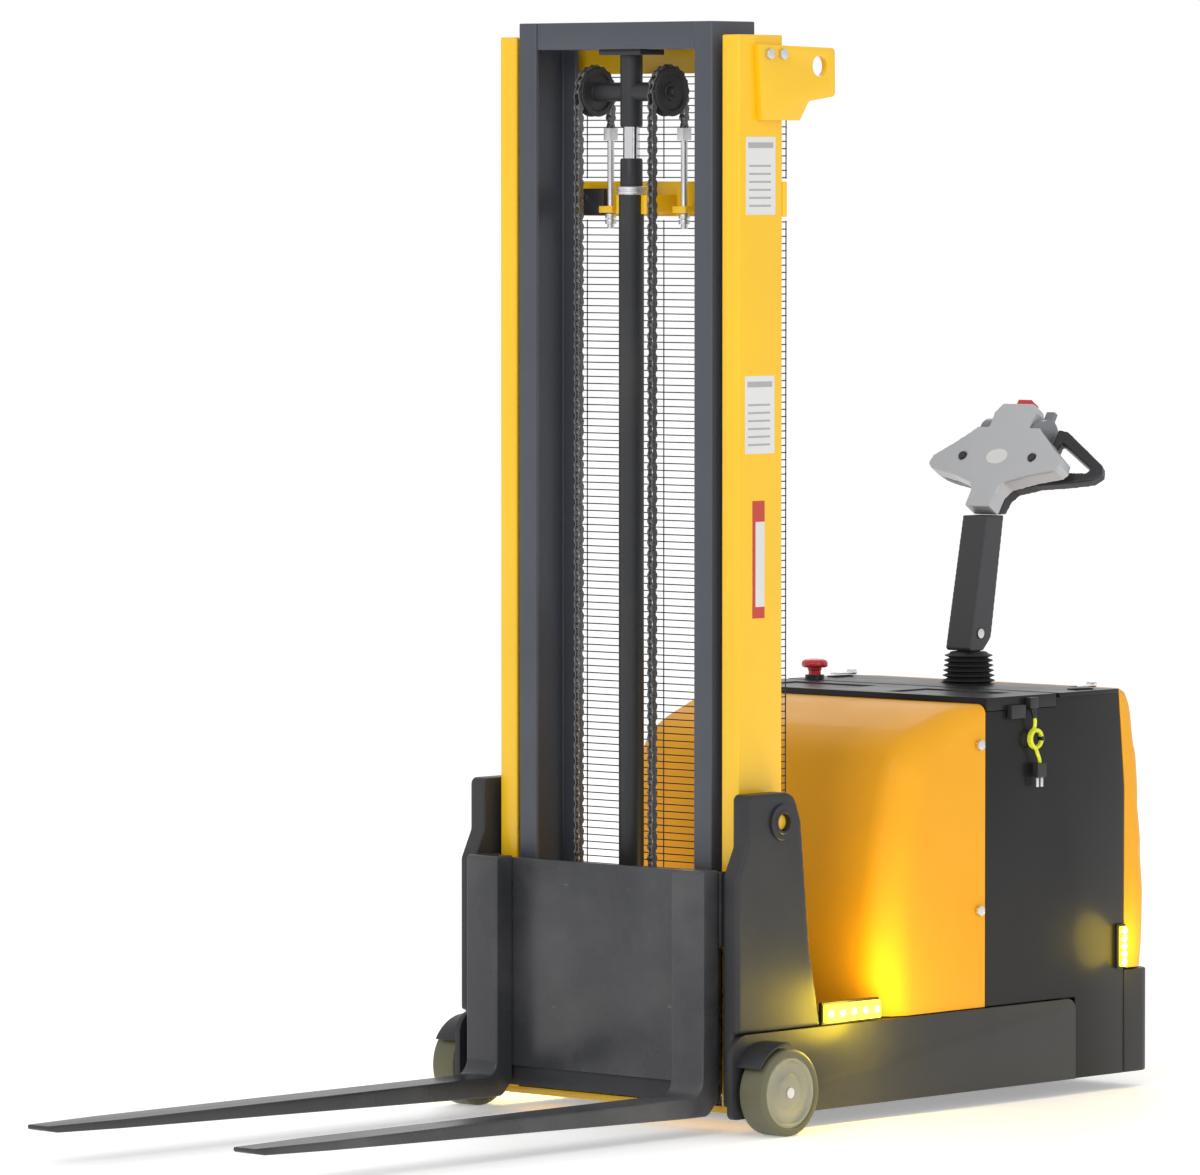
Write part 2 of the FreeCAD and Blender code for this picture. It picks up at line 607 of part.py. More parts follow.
def wheel_guard(side):
    """A curved steel flap over the front and top of a front wheel."""
    inner = S.wheel_middle - S.wheel_width / 2 - 8.7
    outer = S.wheel_middle + S.wheel_width / 2 - 8
    centre = (S.wheel_reach, S.wheel_radius)
    outside = cylinder("x", S.wheel_radius + 11, *span(side, inner, outer), centre)
    inside = cylinder("x", S.wheel_radius + 7, *span(side, inner - 1, outer + 1), centre)
    ring = cut(outside, inside)
    keep = box(span(side, inner - 2, outer + 2), (S.wheel_reach - 74, S.wheel_reach + 10),
               (S.wheel_radius + 46, S.wheel_radius + 100))
    flap = doc.addObject("Part::Common", "Flap")
    flap.Base = ring
    flap.Tool = keep
    return flap


def build_chassis():
    inside = S.skirt_outer - S.skirt_plate
    floor_top = S.floor_bottom + S.floor_plate
    floor = box((-inside, inside), (190, S.bumper_front), (S.floor_bottom, floor_top))
    opening = cylinder("z", 150, S.floor_bottom - 1, floor_top + 1, (0, S.steer_reach - 20))
    mouth = box((-150, 150), (S.steer_reach - 20, S.bumper_front + 1),
                (S.floor_bottom - 1, floor_top + 1))
    front_wall = box((-inside, inside), (190, 200), (floor_top, S.skirt_top - 8))
    deck = box((-inside, inside), (190, S.bonnet_front + 30), (S.skirt_top - 8, S.skirt_top))
    wall = box((-inside, inside), (700, 708), (floor_top, 560))
    links = [box(span(side, S.outer_half_width - 60, S.arm_inner),
                 (S.outer_front + S.outer_depth + 11, 190), (90, 150)) for _, side in SIDES]
    shelf = box((-300, 300), (410, 700), (188, 200))
    node("chassis_tray", fuse(cut(floor, opening, mouth), front_wall, deck, wall, shelf, *links))
    outside = outline("XY", [(-332, S.bumper_front), (332, S.bumper_front),
                             (332, S.bumper_rear), (-332, S.bumper_rear)], S.skirt_bottom,
                      S.bumper_top, rounds=((2, 34), (3, 34)))
    hollow = outline("XY", [(-332 + S.bumper_wall, S.bumper_front - 1),
                            (332 - S.bumper_wall, S.bumper_front - 1),
                            (332 - S.bumper_wall, S.bumper_rear - S.bumper_wall),
                            (-332 + S.bumper_wall, S.bumper_rear - S.bumper_wall)],
                     S.skirt_bottom - 1, S.bumper_top - S.bumper_wall,
                     rounds=((2, 26), (3, 26)))
    swing = cylinder("z", S.drive_swing, S.bumper_top - S.bumper_wall - 1, S.bumper_top + 1,
                     (0, S.steer_reach))
    node("rear_bumper", cut(outside, hollow, swing))


# ---------------------------------------------------------------- bodywork
def rounded_plan(half, front, rear, radius, front_corners, low, high):
    """An upright block, its two front or two rear corners rounded."""
    block = Part.makeBox(2 * half, rear - front, high - low, FreeCAD.Vector(-half, front, low))
    level = front if front_corners else rear
    edges = [edge for edge in block.Edges
             if abs(edge.CenterOfMass.y - level) < 1e-3 and abs(edge.CenterOfMass.z -
                                                                (low + high) / 2) < 1e-3]
    return block.makeFillet(radius, edges)


def side_prism(points, half):
    """A solid with a smooth curve through profile points (y, z), closed by straight lines."""
    curve_points, closing = points
    spline = Part.BSplineCurve()
    spline.interpolate([FreeCAD.Vector(-half, y, z) for y, z in curve_points])
    corners = [curve_points[-1], *closing, curve_points[0]]
    lines = [Part.makeLine(FreeCAD.Vector(-half, *start), FreeCAD.Vector(-half, *end))
             for start, end in zip(corners, corners[1:])]
    face = Part.Face(Part.Wire([spline.toShape(), *lines]))
    return face.extrude(FreeCAD.Vector(2 * half, 0, 0))


def moved(points, dy, dz):
    return [(y + dy, z + dz) for y, z in points]


def bonnet_profile():
    front = value("bonnet_front")
    top = value("body_top") - 12
    return [(front, value("skirt_top") + 2), (front + 4, 335), (front + 14, 440),
            (front + 30, 545), (front + 54, 640), (front + 96, 681), (front + 160, top - 22),
            (front + 222, top - 4), (value("bonnet_rear") - 2, top)]


def build_bodywork():
    half = value("body_half_width")
    wall = value("body_wall")
    low = value("skirt_top") + 2
    rear = value("bonnet_rear") - 2
    curve = bonnet_profile()
    outer = side_prism((curve, [(rear, low)]), half)
    outer = outer.common(rounded_plan(half, value("bonnet_front") - 5, rear,
                                      value("body_corner"), True, low, 800))
    inner_curve = [(y + wall, z) for y, z in curve[:4]]
    inner_curve += [(y + wall * 0.8, z - wall * 0.7) for y, z in curve[4:7]]
    inner_curve += moved(curve[7:], 0, -wall)
    inner_curve[0] = (inner_curve[0][0], low - 5)
    inner_curve[-1] = (rear + 5, inner_curve[-1][1])
    inner = side_prism((inner_curve, [(rear + 5, low - 5)]), half - wall)
    inner = inner.common(rounded_plan(half - wall, value("bonnet_front") - 5 + wall, rear + 6,
                                      value("body_corner") - wall, True, low - 6, 800))
    node("front_bonnet", feature(outer.cut(inner)))

    lid_out = box((-S.body_half_width - 2, S.body_half_width + 2), (S.bonnet_rear, S.lid_rear),
                  (S.body_top - 24, S.body_top))
    lid_in = box((-S.body_half_width + 8, S.body_half_width - 8), (S.bonnet_rear + 10,
                 S.lid_rear - 10), (S.body_top - 25, S.body_top - 8))
    wells = [box(span(side, 60, 262), (S.bonnet_rear + 34, S.lid_rear - 44),
                 (S.body_top - 3, S.body_top + 1)) for _, side in SIDES]
    node("battery_lid", cut(lid_out, lid_in, *wells))

    deck = box((-S.body_half_width, S.body_half_width), (S.deck_front, S.deck_rear),
               (S.body_top - 8, S.body_top))
    boot_hole = cylinder("z", S.boot_radius + 3, S.body_top - 30, S.body_top + 10,
                         (0, S.steer_reach))
    stop_hole = cylinder("z", 12.5, S.body_top - 30, S.body_top + 10,
                         (-S.estop_side, S.estop_reach + 22))
    collar = cylinder("z", 18, S.body_top, S.body_top + 8, (-S.estop_side, S.estop_reach + 22))
    start = S.latch_reach - S.latch_length / 2
    latch_plates = [box(span(side, S.latch_side - 12, S.latch_side + 12),
                        (start, start + S.latch_length - 30), (S.body_top, S.body_top + 2.5))
                    for _, side in SIDES]
    node("rear_deck", cut(fuse(deck, collar, *latch_plates), boot_hole, stop_hole))

    for name, side in SIDES:
        x_range = span(side, S.body_half_width - 6, S.body_half_width)
        edge = [(S.bonnet_rear, S.skirt_top + 2), (S.skirt_rear + 4, S.skirt_top + 2),
                (S.skirt_rear + 4, S.skirt_bottom), (S.panel_rear - 2, S.skirt_bottom),
                (S.panel_rear - 2, 560), (S.deck_rear, S.body_top - 8),
                (S.lid_rear + 2, S.body_top - 8), (S.lid_rear + 2, S.body_top - 25),
                (S.bonnet_rear, S.body_top - 25)]
        panel = outline("YZ", edge, *x_range)
        clip = box(span(side, S.body_half_width - 8, S.body_half_width + 8),
                   (S.bonnet_rear - 1, S.lid_rear + 0.5), (S.body_top - 24.5, S.body_top))
        node(f"side_panel_{name}", cut(panel, clip))
    build_rear_cover(half, wall)


def rear_profile():
    """The rear cover's scalloped outline, from its top edge down."""
    deck = value("deck_rear")
    top = value("body_top") - 2
    return [(deck + 42, top), (deck + 60, 712), (deck + 70, 640), (deck + 78, 612),
            (deck + 84, 545), (deck + 84, 520), (deck + 92, 460), (deck + 92, 430),
            (deck + 98, 370), (deck + 98, 340), (deck + 96, 280), (deck + 90, 224)]


def build_rear_cover(half, wall):
    deck = value("deck_rear") + 1.5
    front = value("panel_rear")
    low = value("bumper_top") + 2
    top = value("body_top") - 2
    curve = rear_profile()
    closing = [(front, curve[-1][1]), (front, 560), (deck, top - 12), (deck, top)]
    outer = side_prism((curve, closing), half)
    outer = outer.common(rounded_plan(half, deck, deck + 130, 44, False, low, 800))
    inner_curve = [(y - wall, z) for y, z in curve]
    inner_curve[0] = (inner_curve[0][0], top - wall)
    inner_curve[-1] = (inner_curve[-1][0], low - 8)
    closing = [(deck - 30, low - 8), (deck - 30, top - wall)]
    inner = side_prism((inner_curve, closing), half - wall)
    inner = inner.common(rounded_plan(half - wall, deck - 30, deck + 130 - wall, 40, False,
                                      low - 20, 800))
    boot = Part.makeCylinder(value("boot_radius") + 3, 100,
                             FreeCAD.Vector(0, value("steer_reach"), 680))
    node("rear_cover", feature(outer.cut(inner).cut(boot)))


def build_screws():
    """Cover screws in the bonnet's rear edge, one pair each side."""
    screws = []
    for _, side in SIDES:
        for level in (656, 356):
            screws.append(hex_bolt("x", side, *span(side, S.body_half_width, S.body_half_width +
                                                    2), (613, level)))
    node("hex_screws", group(*screws, *build_lug_bolts()))


# ---------------------------------------------------------------- inside the body
def build_internals():
    floor_top = S.floor_bottom + S.floor_plate
    batteries = []
    for _, side in SIDES:
        case = box(span(side, 12, 290), (420, 690), (200, 480))
        posts = [cylinder("z", 9, 480, 500, (mid(side, offset), 450)) for offset in (50, 250)]
        batteries.append(fuse(case, *posts))
    node("battery_pack", group(*batteries))
    tank = box((60, 300), (712, 840), (floor_top, 300))
    motor = cylinder("z", 56, 300, 470, (180, 776))
    valve = box((210, 280), (720, 800), (300, 360))
    node("hydraulic_power_unit", fuse(tank, motor, valve))
    charger = box((-300, -120), (712, 830), (380, 560))
    controller = box((-300, -150), (712, 790), (floor_top, 300))
    node("charger_and_controller", group(charger, controller))
    node("counterweight", group(*[box(span(side, 170, 318), (860, 1020), (floor_top, 250))
                                  for _, side in SIDES]))
    ring = cylinder("z", 95, 248, 268, (0, S.steer_reach))
    ring_bore = cylinder("z", 62 + S.clear_gap, 247, 269, (0, S.steer_reach))
    bridge = box((-318, 318), (868, 1022), (268, 280))
    bridge_bore = cylinder("z", 62 + S.clear_gap, 267, 281, (0, S.steer_reach))
    node("slewing_ring", fuse(cut(ring, ring_bore), cut(bridge, bridge_bore)))


def build_drive():
    """Steered drive unit: motor above the slewing ring, gearbox beside the drive wheel."""
    axis = (0, S.steer_reach)
    wheel_centre = (S.steer_reach, S.drive_radius)
    turntable = cylinder("z", 62, 236, 300, axis)
    motor = cylinder("z", 60, 300, 480, axis)
    column = cylinder("z", S.column_radius, 480, BOOT_TOP, axis)
    gearbox = box((S.drive_width / 2 + 3, S.drive_width / 2 + 42), (S.steer_reach - 46,
                  S.steer_reach + 46), (62, 236))
    top_plate = box((-52, S.drive_width / 2 + 42), (S.steer_reach - 46, S.steer_reach + 46),
                    (218, 240))
    axle = cylinder("x", 14, -S.drive_width / 2 + 6, S.drive_width / 2 + 4, wheel_centre)
    ears = box((-15, 15), (S.steer_reach - 16, S.steer_reach + 16), (BOOT_TOP - 10,
               PIVOT_HEIGHT + 2))
    eye = cylinder("x", 18, -15, 15, (S.steer_reach, PIVOT_HEIGHT))
    pin = cylinder("x", S.pivot_pin_radius, -(S.arm_width / 2 + 1), S.arm_width / 2 + 1,
                   (S.steer_reach, PIVOT_HEIGHT))
    node("drive_unit", fuse(turntable, motor, column, gearbox, top_plate, axle, ears, eye, pin))
    tread = cylinder("x", S.drive_radius, -S.drive_width / 2, S.drive_width / 2, wheel_centre)
    bore = cylinder("x", 14 + S.running_gap, -S.drive_width / 2 - 1, S.drive_width / 2 + 1,
                    wheel_centre)
    node("drive_wheel", cut(tread, bore))
    build_boot(axis)


def build_boot(axis):
    """Rubber bellows between the deck and the tiller arm."""
    floor = S.body_top - 6
    tube = cylinder("z", S.boot_radius - 10, floor, BOOT_TOP, axis)
    ribs = []
    count = 6
    pitch = (BOOT_TOP - floor) / count
    for turn in range(count):
        ribs.append(cylinder("z", S.boot_radius, floor + pitch * turn + 2,
                             floor + pitch * turn + 6, axis))
    bore = cylinder("z", S.column_radius + S.clear_gap, floor - 1, BOOT_TOP + 1, axis)
    node("tiller_boot", cut(fuse(tube, *ribs), bore))


# ---------------------------------------------------------------- tiller
def build_tiller():
    half = S.arm_width / 2
    pivot = S.steer_reach
    edge = [(pivot - 33, BOOT_TOP + 2), (pivot + 9, BOOT_TOP + 2), (pivot + 31, PIVOT_HEIGHT - 8),
            (S.head_reach + 26, HEAD_HEIGHT), (S.head_reach - 24, HEAD_HEIGHT)]
    arm = outline("YZ", edge, -half, half, rounds=((0, 6), (1, 10), (2, 10)))
    slot = box((-19, 19), (pivot - 19.5, pivot + 60), (BOOT_TOP, PIVOT_HEIGHT + 20))
    pin_way = cylinder("x", S.pivot_pin_radius + S.running_gap, -half - 1, half + 1,
                       (pivot, PIVOT_HEIGHT))
    node("tiller_arm", cut(arm, slot, pin_way))
    build_head()
    build_controls()


def build_head():
    """Silver front shell and black rear shell, with a swept grip loop on each side."""
    lean = head_turn()
    base = (0, *head_point(0, 0))
    # head outlines lie in the leaning plane: across, and up along the head
    half_silver = [(30, 4), (31, 40), (42, 56), (92, 72), (150, 84), (160, 94), (156, 112),
                   (120, 138), (86, 166), (56, 198), (38, 228)]
    front = outline("XY", mirrored(half_silver), -8, 26, turn=lean, base=base)
    mouths = [cylinder("x", S.throttle_radius + S.throttle_travel_gap,
                       *span(side, S.throttle_inner - 1.5, 100), throttle_centre())
              for _, side in SIDES]
    paddle_ways = [head_box(span(side, S.throttle_inner - 1.5, 100), (176, 240), (-9, 30))
                   for _, side in SIDES]
    button_ways = [head_cylinder(S.button_radius + S.clear_gap, mid(side, 84), 112, 12, 30)
                   for _, side in SIDES]
    red_way = head_box((-17, 17), (206, 240), (-13, 15))
    bar_way = cylinder("x", S.throttle_bar_radius + S.running_gap, -S.throttle_inner - 2,
                       S.throttle_inner + 2, throttle_centre())
    node("head_shell", cut(front, *mouths, *paddle_ways, *button_ways, red_way, bar_way))
    half_black = [(25, 2), (27, 44), (40, 60), (84, 72), (98, 84), (98, 148), (48, 148),
                  (48, S.head_top), (44, S.head_top - 14)]
    body = outline("XY", mirrored(half_black), -S.head_back, -8, turn=lean, base=base)
    loops = [grip_loop(side) for _, side in SIDES]
    under = box((-60, 60), (S.head_reach - 60, S.head_reach + 120),
                (HEAD_HEIGHT - 60, HEAD_HEIGHT + 1))
    rear_bar_way = cylinder("x", S.throttle_bar_radius + S.running_gap, -S.throttle_inner - 2,
                            S.throttle_inner + 2, throttle_centre())
    rear_mouths = [cylinder("x", S.throttle_radius + S.throttle_travel_gap,
                            *span(side, S.throttle_inner - 1.5, 78), throttle_centre())
                   for _, side in SIDES]
    node("head_rear_shell", cut(fuse(body, *loops), under, rear_bar_way, *rear_mouths))


def grip_loop(side):
    """A closed hand loop, swept back from the head's middle."""
    root, thickness = 84, 24
    sweep = FreeCAD.Rotation(FreeCAD.Vector(0, 1, 0), side * value("grip_sweep"))
    turn = head_turn().multiply(sweep)
    base = (mid(side, root), *head_point(0, thickness / 2 - value("head_back")))
    rim = [(84, 72), (150, 92), (188, 106), (202, 122), (196, 140), (104, 194), (84, 194)]
    window = [(98, 104), (170, 118), (176, 128), (98, 170)]
    edges = []
    for points in (rim, window):
        turned = [(mid(side, across - root), along) for across, along in points]
        edges.append(turned if side > 0 else list(reversed(turned)))
    loop = outline("XY", edges[0], -thickness / 2, thickness / 2, turn=turn, base=base)
    hole = outline("XY", edges[1], -thickness, thickness, turn=turn, base=base)
    return cut(loop, hole)


def mirrored(half_outline):
    """A whole outline from the points of its +X half."""
    points = [(as_size(across), as_size(along)) for across, along in half_outline]
    return points + [(-across, along) for across, along in reversed(points)]


def head_point(along, out):
    """Reach and height of a point given along the head's lean and out from its face."""
    reach = S.head_reach + along * math.sin(LEAN) - out * math.cos(LEAN)
    height = HEAD_HEIGHT + 1 + along * math.cos(LEAN) + out * math.sin(LEAN)
    return reach, height


def head_turn():
    return FreeCAD.Rotation(FreeCAD.Vector(1, 0, 0), 90 - value("head_lean"))


def head_cylinder(radius, across, along, low, high):
    """A cylinder standing out of the head's face."""
    obj = doc.addObject("Part::Cylinder", "HeadCylinder")
    bind(obj, "Radius", radius)
    bind(obj, "Height", as_size(high) - low)
    return place(obj, across, *head_point(along, low), head_turn())


def head_box(across, along, out):
    obj = doc.addObject("Part::Box", "HeadBox")
    for prop, (low, high) in zip(("Length", "Width", "Height"), (across, along, out)):
        bind(obj, prop, as_size(high) - low)
    return place(obj, across[0], *head_point(along[0], out[0]), head_turn())


def throttle_centre():
    return head_point(180, -6)


def build_controls():
    wings = []
    for _, side in SIDES:
        outer = S.throttle_inner + S.throttle_width
        disc = cylinder("x", S.throttle_radius, *span(side, S.throttle_inner, outer),
                        throttle_centre())
        paddle = head_box(span(side, S.throttle_inner + 2, outer - 2), (192, 226), (-10, 2))
        wings.append(fuse(disc, paddle))
    bar = cylinder("x", S.throttle_bar_radius, -S.throttle_inner - 2, S.throttle_inner + 2,
                   throttle_centre())
    node("throttle", fuse(bar, *wings))
    node("belly_button", head_box((-16, 16), (214, 244), (-12, 14)))
    for name, side in (("horn_button", -1), ("lift_button", 1)):
        node(name, head_cylinder(S.button_radius, mid(side, 84), 112, 16, 29))


# ---------------------------------------------------------------- fittings
def build_fittings():
    stop_spot = (-S.estop_side, S.estop_reach + 22)
    stem = cylinder("z", 12, S.body_top - 26, S.body_top + 22, stop_spot)
    cap = cylinder("z", S.estop_radius, S.body_top + 22, S.body_top + 38, stop_spot)
    node("estop_button", fuse(stem, cap))
    for name, side in SIDES:
        start = S.latch_reach - S.latch_length / 2
        x_range = span(side, S.latch_side - 9, S.latch_side + 9)
        lever = box(x_range, (start + 4, start + S.latch_length - 22), (S.body_top + 5,
                    S.body_top + 8))
        knuckle = cylinder("x", 5, x_range[0], x_range[1], (start + S.latch_length - 20,
                           S.body_top + 8))
        node(f"latch_{name}", fuse(lever, knuckle))
    strobes = []
    for _, side in SIDES:
        strobes.append(box(span(side, 326, 344), (180, 335), (S.skirt_top + 2, S.skirt_top + 42)))
        strobes.append(box(span(side, S.body_half_width, S.body_half_width + 14), (1004, 1028),
                           (224, 306)))
    node("strobe_lights", group(*strobes))
    case = box((-172, -122), (104, 124), (1612, 1660))
    roller_arm = box((-172, -164), (96, 104), (1640, 1648))
    node("limit_switch", fuse(case, roller_arm))
    build_cord()


def cord_path(points):
    """Straight runs joined by tangent arcs as large as the runs allow."""
    spots = [FreeCAD.Vector(*point) for point in points]
    edges, radii = [], []
    start = spots[0]
    for before, here, after in zip(spots, spots[1:], spots[2:]):
        incoming, outgoing = (here - before), (after - here)
        turn = incoming.getAngle(outgoing)
        trim = 0.45 * min(incoming.Length, outgoing.Length)
        radius = trim / math.tan(turn / 2)
        radii.append(radius)
        entry = here - incoming.normalize() * trim
        leave = here + outgoing.normalize() * trim
        middle = (entry + leave) / 2
        bisector = (middle - here).normalize()
        centre_distance = radius / math.cos(turn / 2)
        top = here + bisector * (centre_distance - radius)
        edges.append(Part.makeLine(start, entry))
        edges.append(Part.Arc(entry, top, leave).toShape())
        start = leave
    edges.append(Part.makeLine(start, spots[-1]))
    return Part.Wire(edges), radii


CORD_RADIUS = 3.5
CORD_ROUTE = [(341, 752, 716), (345, 750, 707), (349, 749, 698), (348, 751, 689),
              (346, 753, 681)]
TAIL_ROUTE = [(346, 757, 640), (347, 760, 632), (347.5, 764, 625), (346.5, 766, 617)]


def build_cord():
    """Short charger lead: sleeve under the lid lip, a small tied hank and a plug."""
    tubes = []
    for route in (CORD_ROUTE, TAIL_ROUTE):
        wire, radii = cord_path(route)
        print("cord radii", [round(radius, 1) for radius in radii],
              "length", round(wire.Length, 1))
        start = FreeCAD.Vector(*route[0])
        direction = FreeCAD.Vector(*route[1]) - start
        circle = Part.Wire(Part.makeCircle(CORD_RADIUS, start, direction))
        tube = wire.makePipeShell([circle], True, False)
        tubes.append(tube)
    node("charger_cord", feature(Part.Compound(tubes)))
    hank = Part.makeBox(14, 40, 40, FreeCAD.Vector(339, 735, 641))
    corners = [edge for edge in hank.Edges if abs(edge.CenterOfMass.x - 346) < 1e-3]
    node("cord_hank", feature(hank.makeFillet(14, corners)))
    plug = Part.makeBox(13, 24, 26, FreeCAD.Vector(340, 754, 591))
    prongs = [Part.makeBox(2, 7, 18, FreeCAD.Vector(345.5, reach, 573)) for reach in (756, 768)]
    node("charger_plug", feature(plug.multiFuse(prongs)))
    sleeve = Part.makeBox(14, 22, 20, FreeCAD.Vector(332.5, 741, 716.5))
    socket = Part.makeBox(12, 40, 24, FreeCAD.Vector(332.5, 690, 700))
    node("charger_socket", feature(Part.Compound([sleeve, socket])))


# ---------------------------------------------------------------- build and write
build_outer_mast()
build_guard()
build_lugs()
build_inner_mast()
build_cylinder()
build_chains()
build_carriage()
build_forks()
build_front_wheels()
build_skirts()
build_chassis()
build_bodywork()
build_screws()
build_internals()
build_drive()
build_tiller()
build_fittings()
doc.recompute()

faults = [obj.Label for obj in doc.Objects
          if "Invalid" in obj.State or "Error" in obj.State]
for name, obj in nodes.items():
    if obj.Shape.isNull() or not obj.Shape.isValid() or obj.Shape.Volume <= 0:
        faults.append(name)
if faults:
    raise RuntimeError(f"not built: {sorted(set(faults))}")

os.makedirs("parts", exist_ok=True)
for name, obj in nodes.items():
    obj.Shape.exportStep(f"parts/{name}.step")
print(len(nodes), "nodes written")
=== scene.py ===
import json
import math

import bmesh
import bpy
from mathutils import Matrix, Vector


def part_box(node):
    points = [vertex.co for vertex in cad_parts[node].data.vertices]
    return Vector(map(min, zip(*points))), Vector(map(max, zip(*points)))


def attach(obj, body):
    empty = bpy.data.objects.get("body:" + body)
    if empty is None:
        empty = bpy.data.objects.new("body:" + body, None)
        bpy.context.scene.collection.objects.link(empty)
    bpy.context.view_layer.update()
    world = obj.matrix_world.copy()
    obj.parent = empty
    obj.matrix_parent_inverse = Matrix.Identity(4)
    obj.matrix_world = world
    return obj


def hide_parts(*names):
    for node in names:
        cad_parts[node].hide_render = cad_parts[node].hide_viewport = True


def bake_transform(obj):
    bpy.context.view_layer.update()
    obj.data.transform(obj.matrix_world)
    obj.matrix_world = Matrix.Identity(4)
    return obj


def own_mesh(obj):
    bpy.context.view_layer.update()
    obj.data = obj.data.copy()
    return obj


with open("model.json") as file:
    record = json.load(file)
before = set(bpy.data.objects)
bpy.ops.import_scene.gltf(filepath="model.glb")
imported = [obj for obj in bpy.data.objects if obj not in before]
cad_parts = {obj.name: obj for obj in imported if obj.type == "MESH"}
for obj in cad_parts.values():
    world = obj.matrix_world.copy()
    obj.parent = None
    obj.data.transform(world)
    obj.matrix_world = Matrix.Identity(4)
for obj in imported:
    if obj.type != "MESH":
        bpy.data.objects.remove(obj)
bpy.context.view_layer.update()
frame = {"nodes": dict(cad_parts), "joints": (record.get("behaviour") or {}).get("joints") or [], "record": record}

bl_info = {
    "name": "Walkie Stacker",
    "version": (1, 0, 0),
    "blender": (4, 5, 0),
    "location": "View3D > Sidebar > Walkie Stacker",
    "description": "Finishes a counterbalanced walkie stacker around its packed frame",
    "category": "Add Mesh",
}

MAST_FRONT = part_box("inner_channel_right")[0][1]
BODY_OF = {node: body for body, nodes in frame["record"]["behaviour"]["bodies"].items()
           for node in nodes}
SLOT_OF = {part["node"]: part["material_slot"] for part in frame["record"]["subparts"]}
SIDES = (-1, 1)
LENS = 259.5                        # focal length in millimetres, on a sensor 36 wide
CAMERA_PLACE = (10.390, -11.312, 1.711)     # its Y, like the target's, is from the mast front
CAMERA_TARGET = (-0.0187, -0.0172, 0.952)
FOLD_REST = 0.020                   # height left to a folded strand at rest


# ---------------------------------------------------------------- settings
class StackerSizes(bpy.types.PropertyGroup):
    """Sizes of the finished pieces."""

    edge: bpy.props.FloatProperty(
        name="Steel edge", description="Rounding of plain steel edges", default=0.0015,
        unit="LENGTH")
    chain_pitch: bpy.props.FloatProperty(
        name="Chain pitch", description="Distance between chain pins", default=0.01905,
        unit="LENGTH")
    guard_return: bpy.props.FloatProperty(
        name="Guard return", description="Depth of the guard's bent-back sides",
        default=0.018, min=0.008, max=0.040, unit="LENGTH")
    wire_pitch: bpy.props.FloatProperty(
        name="Wire pitch", description="Distance between the guard's level wires",
        default=0.0127, unit="LENGTH")
    wire_radius: bpy.props.FloatProperty(
        name="Wire radius", description="Radius of the guard's wires", default=0.0011,
        unit="LENGTH")
    column_pitch: bpy.props.FloatProperty(
        name="Column pitch", description="Distance between the guard's upright wires",
        default=0.0875, unit="LENGTH")
    cover_wall: bpy.props.FloatProperty(
        name="Cover wall", description="Thickness of the moulded covers", default=0.004,
        unit="LENGTH")
    bonnet_corner: bpy.props.FloatProperty(
        name="Bonnet corner", description="Rounding between the bonnet's front and sides",
        default=0.072, unit="LENGTH")
    cord_diameter: bpy.props.FloatProperty(
        name="Cord diameter", description="Thickness of the charger lead", default=0.007,
        unit="LENGTH")


def colour(name, description, default):
    return bpy.props.FloatVectorProperty(name=name, description=description, size=3,
                                         subtype="COLOR", min=0.0, max=1.0, default=default)


class StackerColours(bpy.types.PropertyGroup):
    """Base colours of the finishes."""

    mast_yellow: colour("Mast yellow", "Paint of the fixed mast", (0.93, 0.55, 0.008))
    cover_yellow: colour("Cover yellow", "Moulded covers", (0.88, 0.40, 0.012))
    mast_grey: colour("Mast grey", "Moving mast", (0.062, 0.068, 0.085))
    steel_black: colour("Steel black", "Chassis and carriage paint", (0.028, 0.029, 0.032))
    panel_black: colour("Panel black", "Body panels and lid", (0.014, 0.014, 0.016))
    head_silver: colour("Head silver", "Front of the control head", (0.50, 0.51, 0.53))
    tread: colour("Tread", "Polyurethane tyres", (0.125, 0.120, 0.072))
    button_red: colour("Button red", "Stop and safety buttons", (0.62, 0.008, 0.022))
    cord_yellow: colour("Cord yellow", "Charger lead", (0.72, 0.78, 0.03))
    lamp_amber: colour("Lamp amber", "Strobe lamps", (1.0, 0.62, 0.02))


def sizes():
    return bpy.context.scene.stacker_sizes


def colours():
    return bpy.context.scene.stacker_colours


# ---------------------------------------------------------------- shader groups
def new_group(name, inputs, outputs):
    tree = bpy.data.node_groups.new(name, "ShaderNodeTree")
    for label, default in inputs:
        socket = tree.interface.new_socket(label, in_out="INPUT", socket_type="NodeSocketFloat")
        socket.default_value = default
    for label in outputs:
        tree.interface.new_socket(label, in_out="OUTPUT", socket_type="NodeSocketFloat")
    return tree, tree.nodes.new("NodeGroupInput"), tree.nodes.new("NodeGroupOutput")


def noise(tree, vector, scale, detail=4.0, roughness=0.55):
    node = tree.nodes.new("ShaderNodeTexNoise")
    node.inputs["Detail"].default_value = detail
    node.inputs["Roughness"].default_value = roughness
    tree.links.new(vector, node.inputs["Vector"])
    if isinstance(scale, (int, float)):
        node.inputs["Scale"].default_value = scale
    else:
        tree.links.new(scale, node.inputs["Scale"])
    return node.outputs["Fac"]


def math_node(tree, operation, first, second):
    node = tree.nodes.new("ShaderNodeMath")
    node.operation = operation
    for socket, source in zip(node.inputs, (first, second)):
        if isinstance(source, (int, float)):
            socket.default_value = source
        else:
            tree.links.new(source, socket)
    return node.outputs[0]


def ramp(tree, source, low, high):
    """0 below low, 1 above high, smooth between."""
    node = tree.nodes.new("ShaderNodeMapRange")
    node.interpolation_type = "SMOOTHSTEP"
    node.inputs["From Min"].default_value = low
    node.inputs["From Max"].default_value = high
    tree.links.new(source, node.inputs["Value"])
    return node.outputs["Result"]


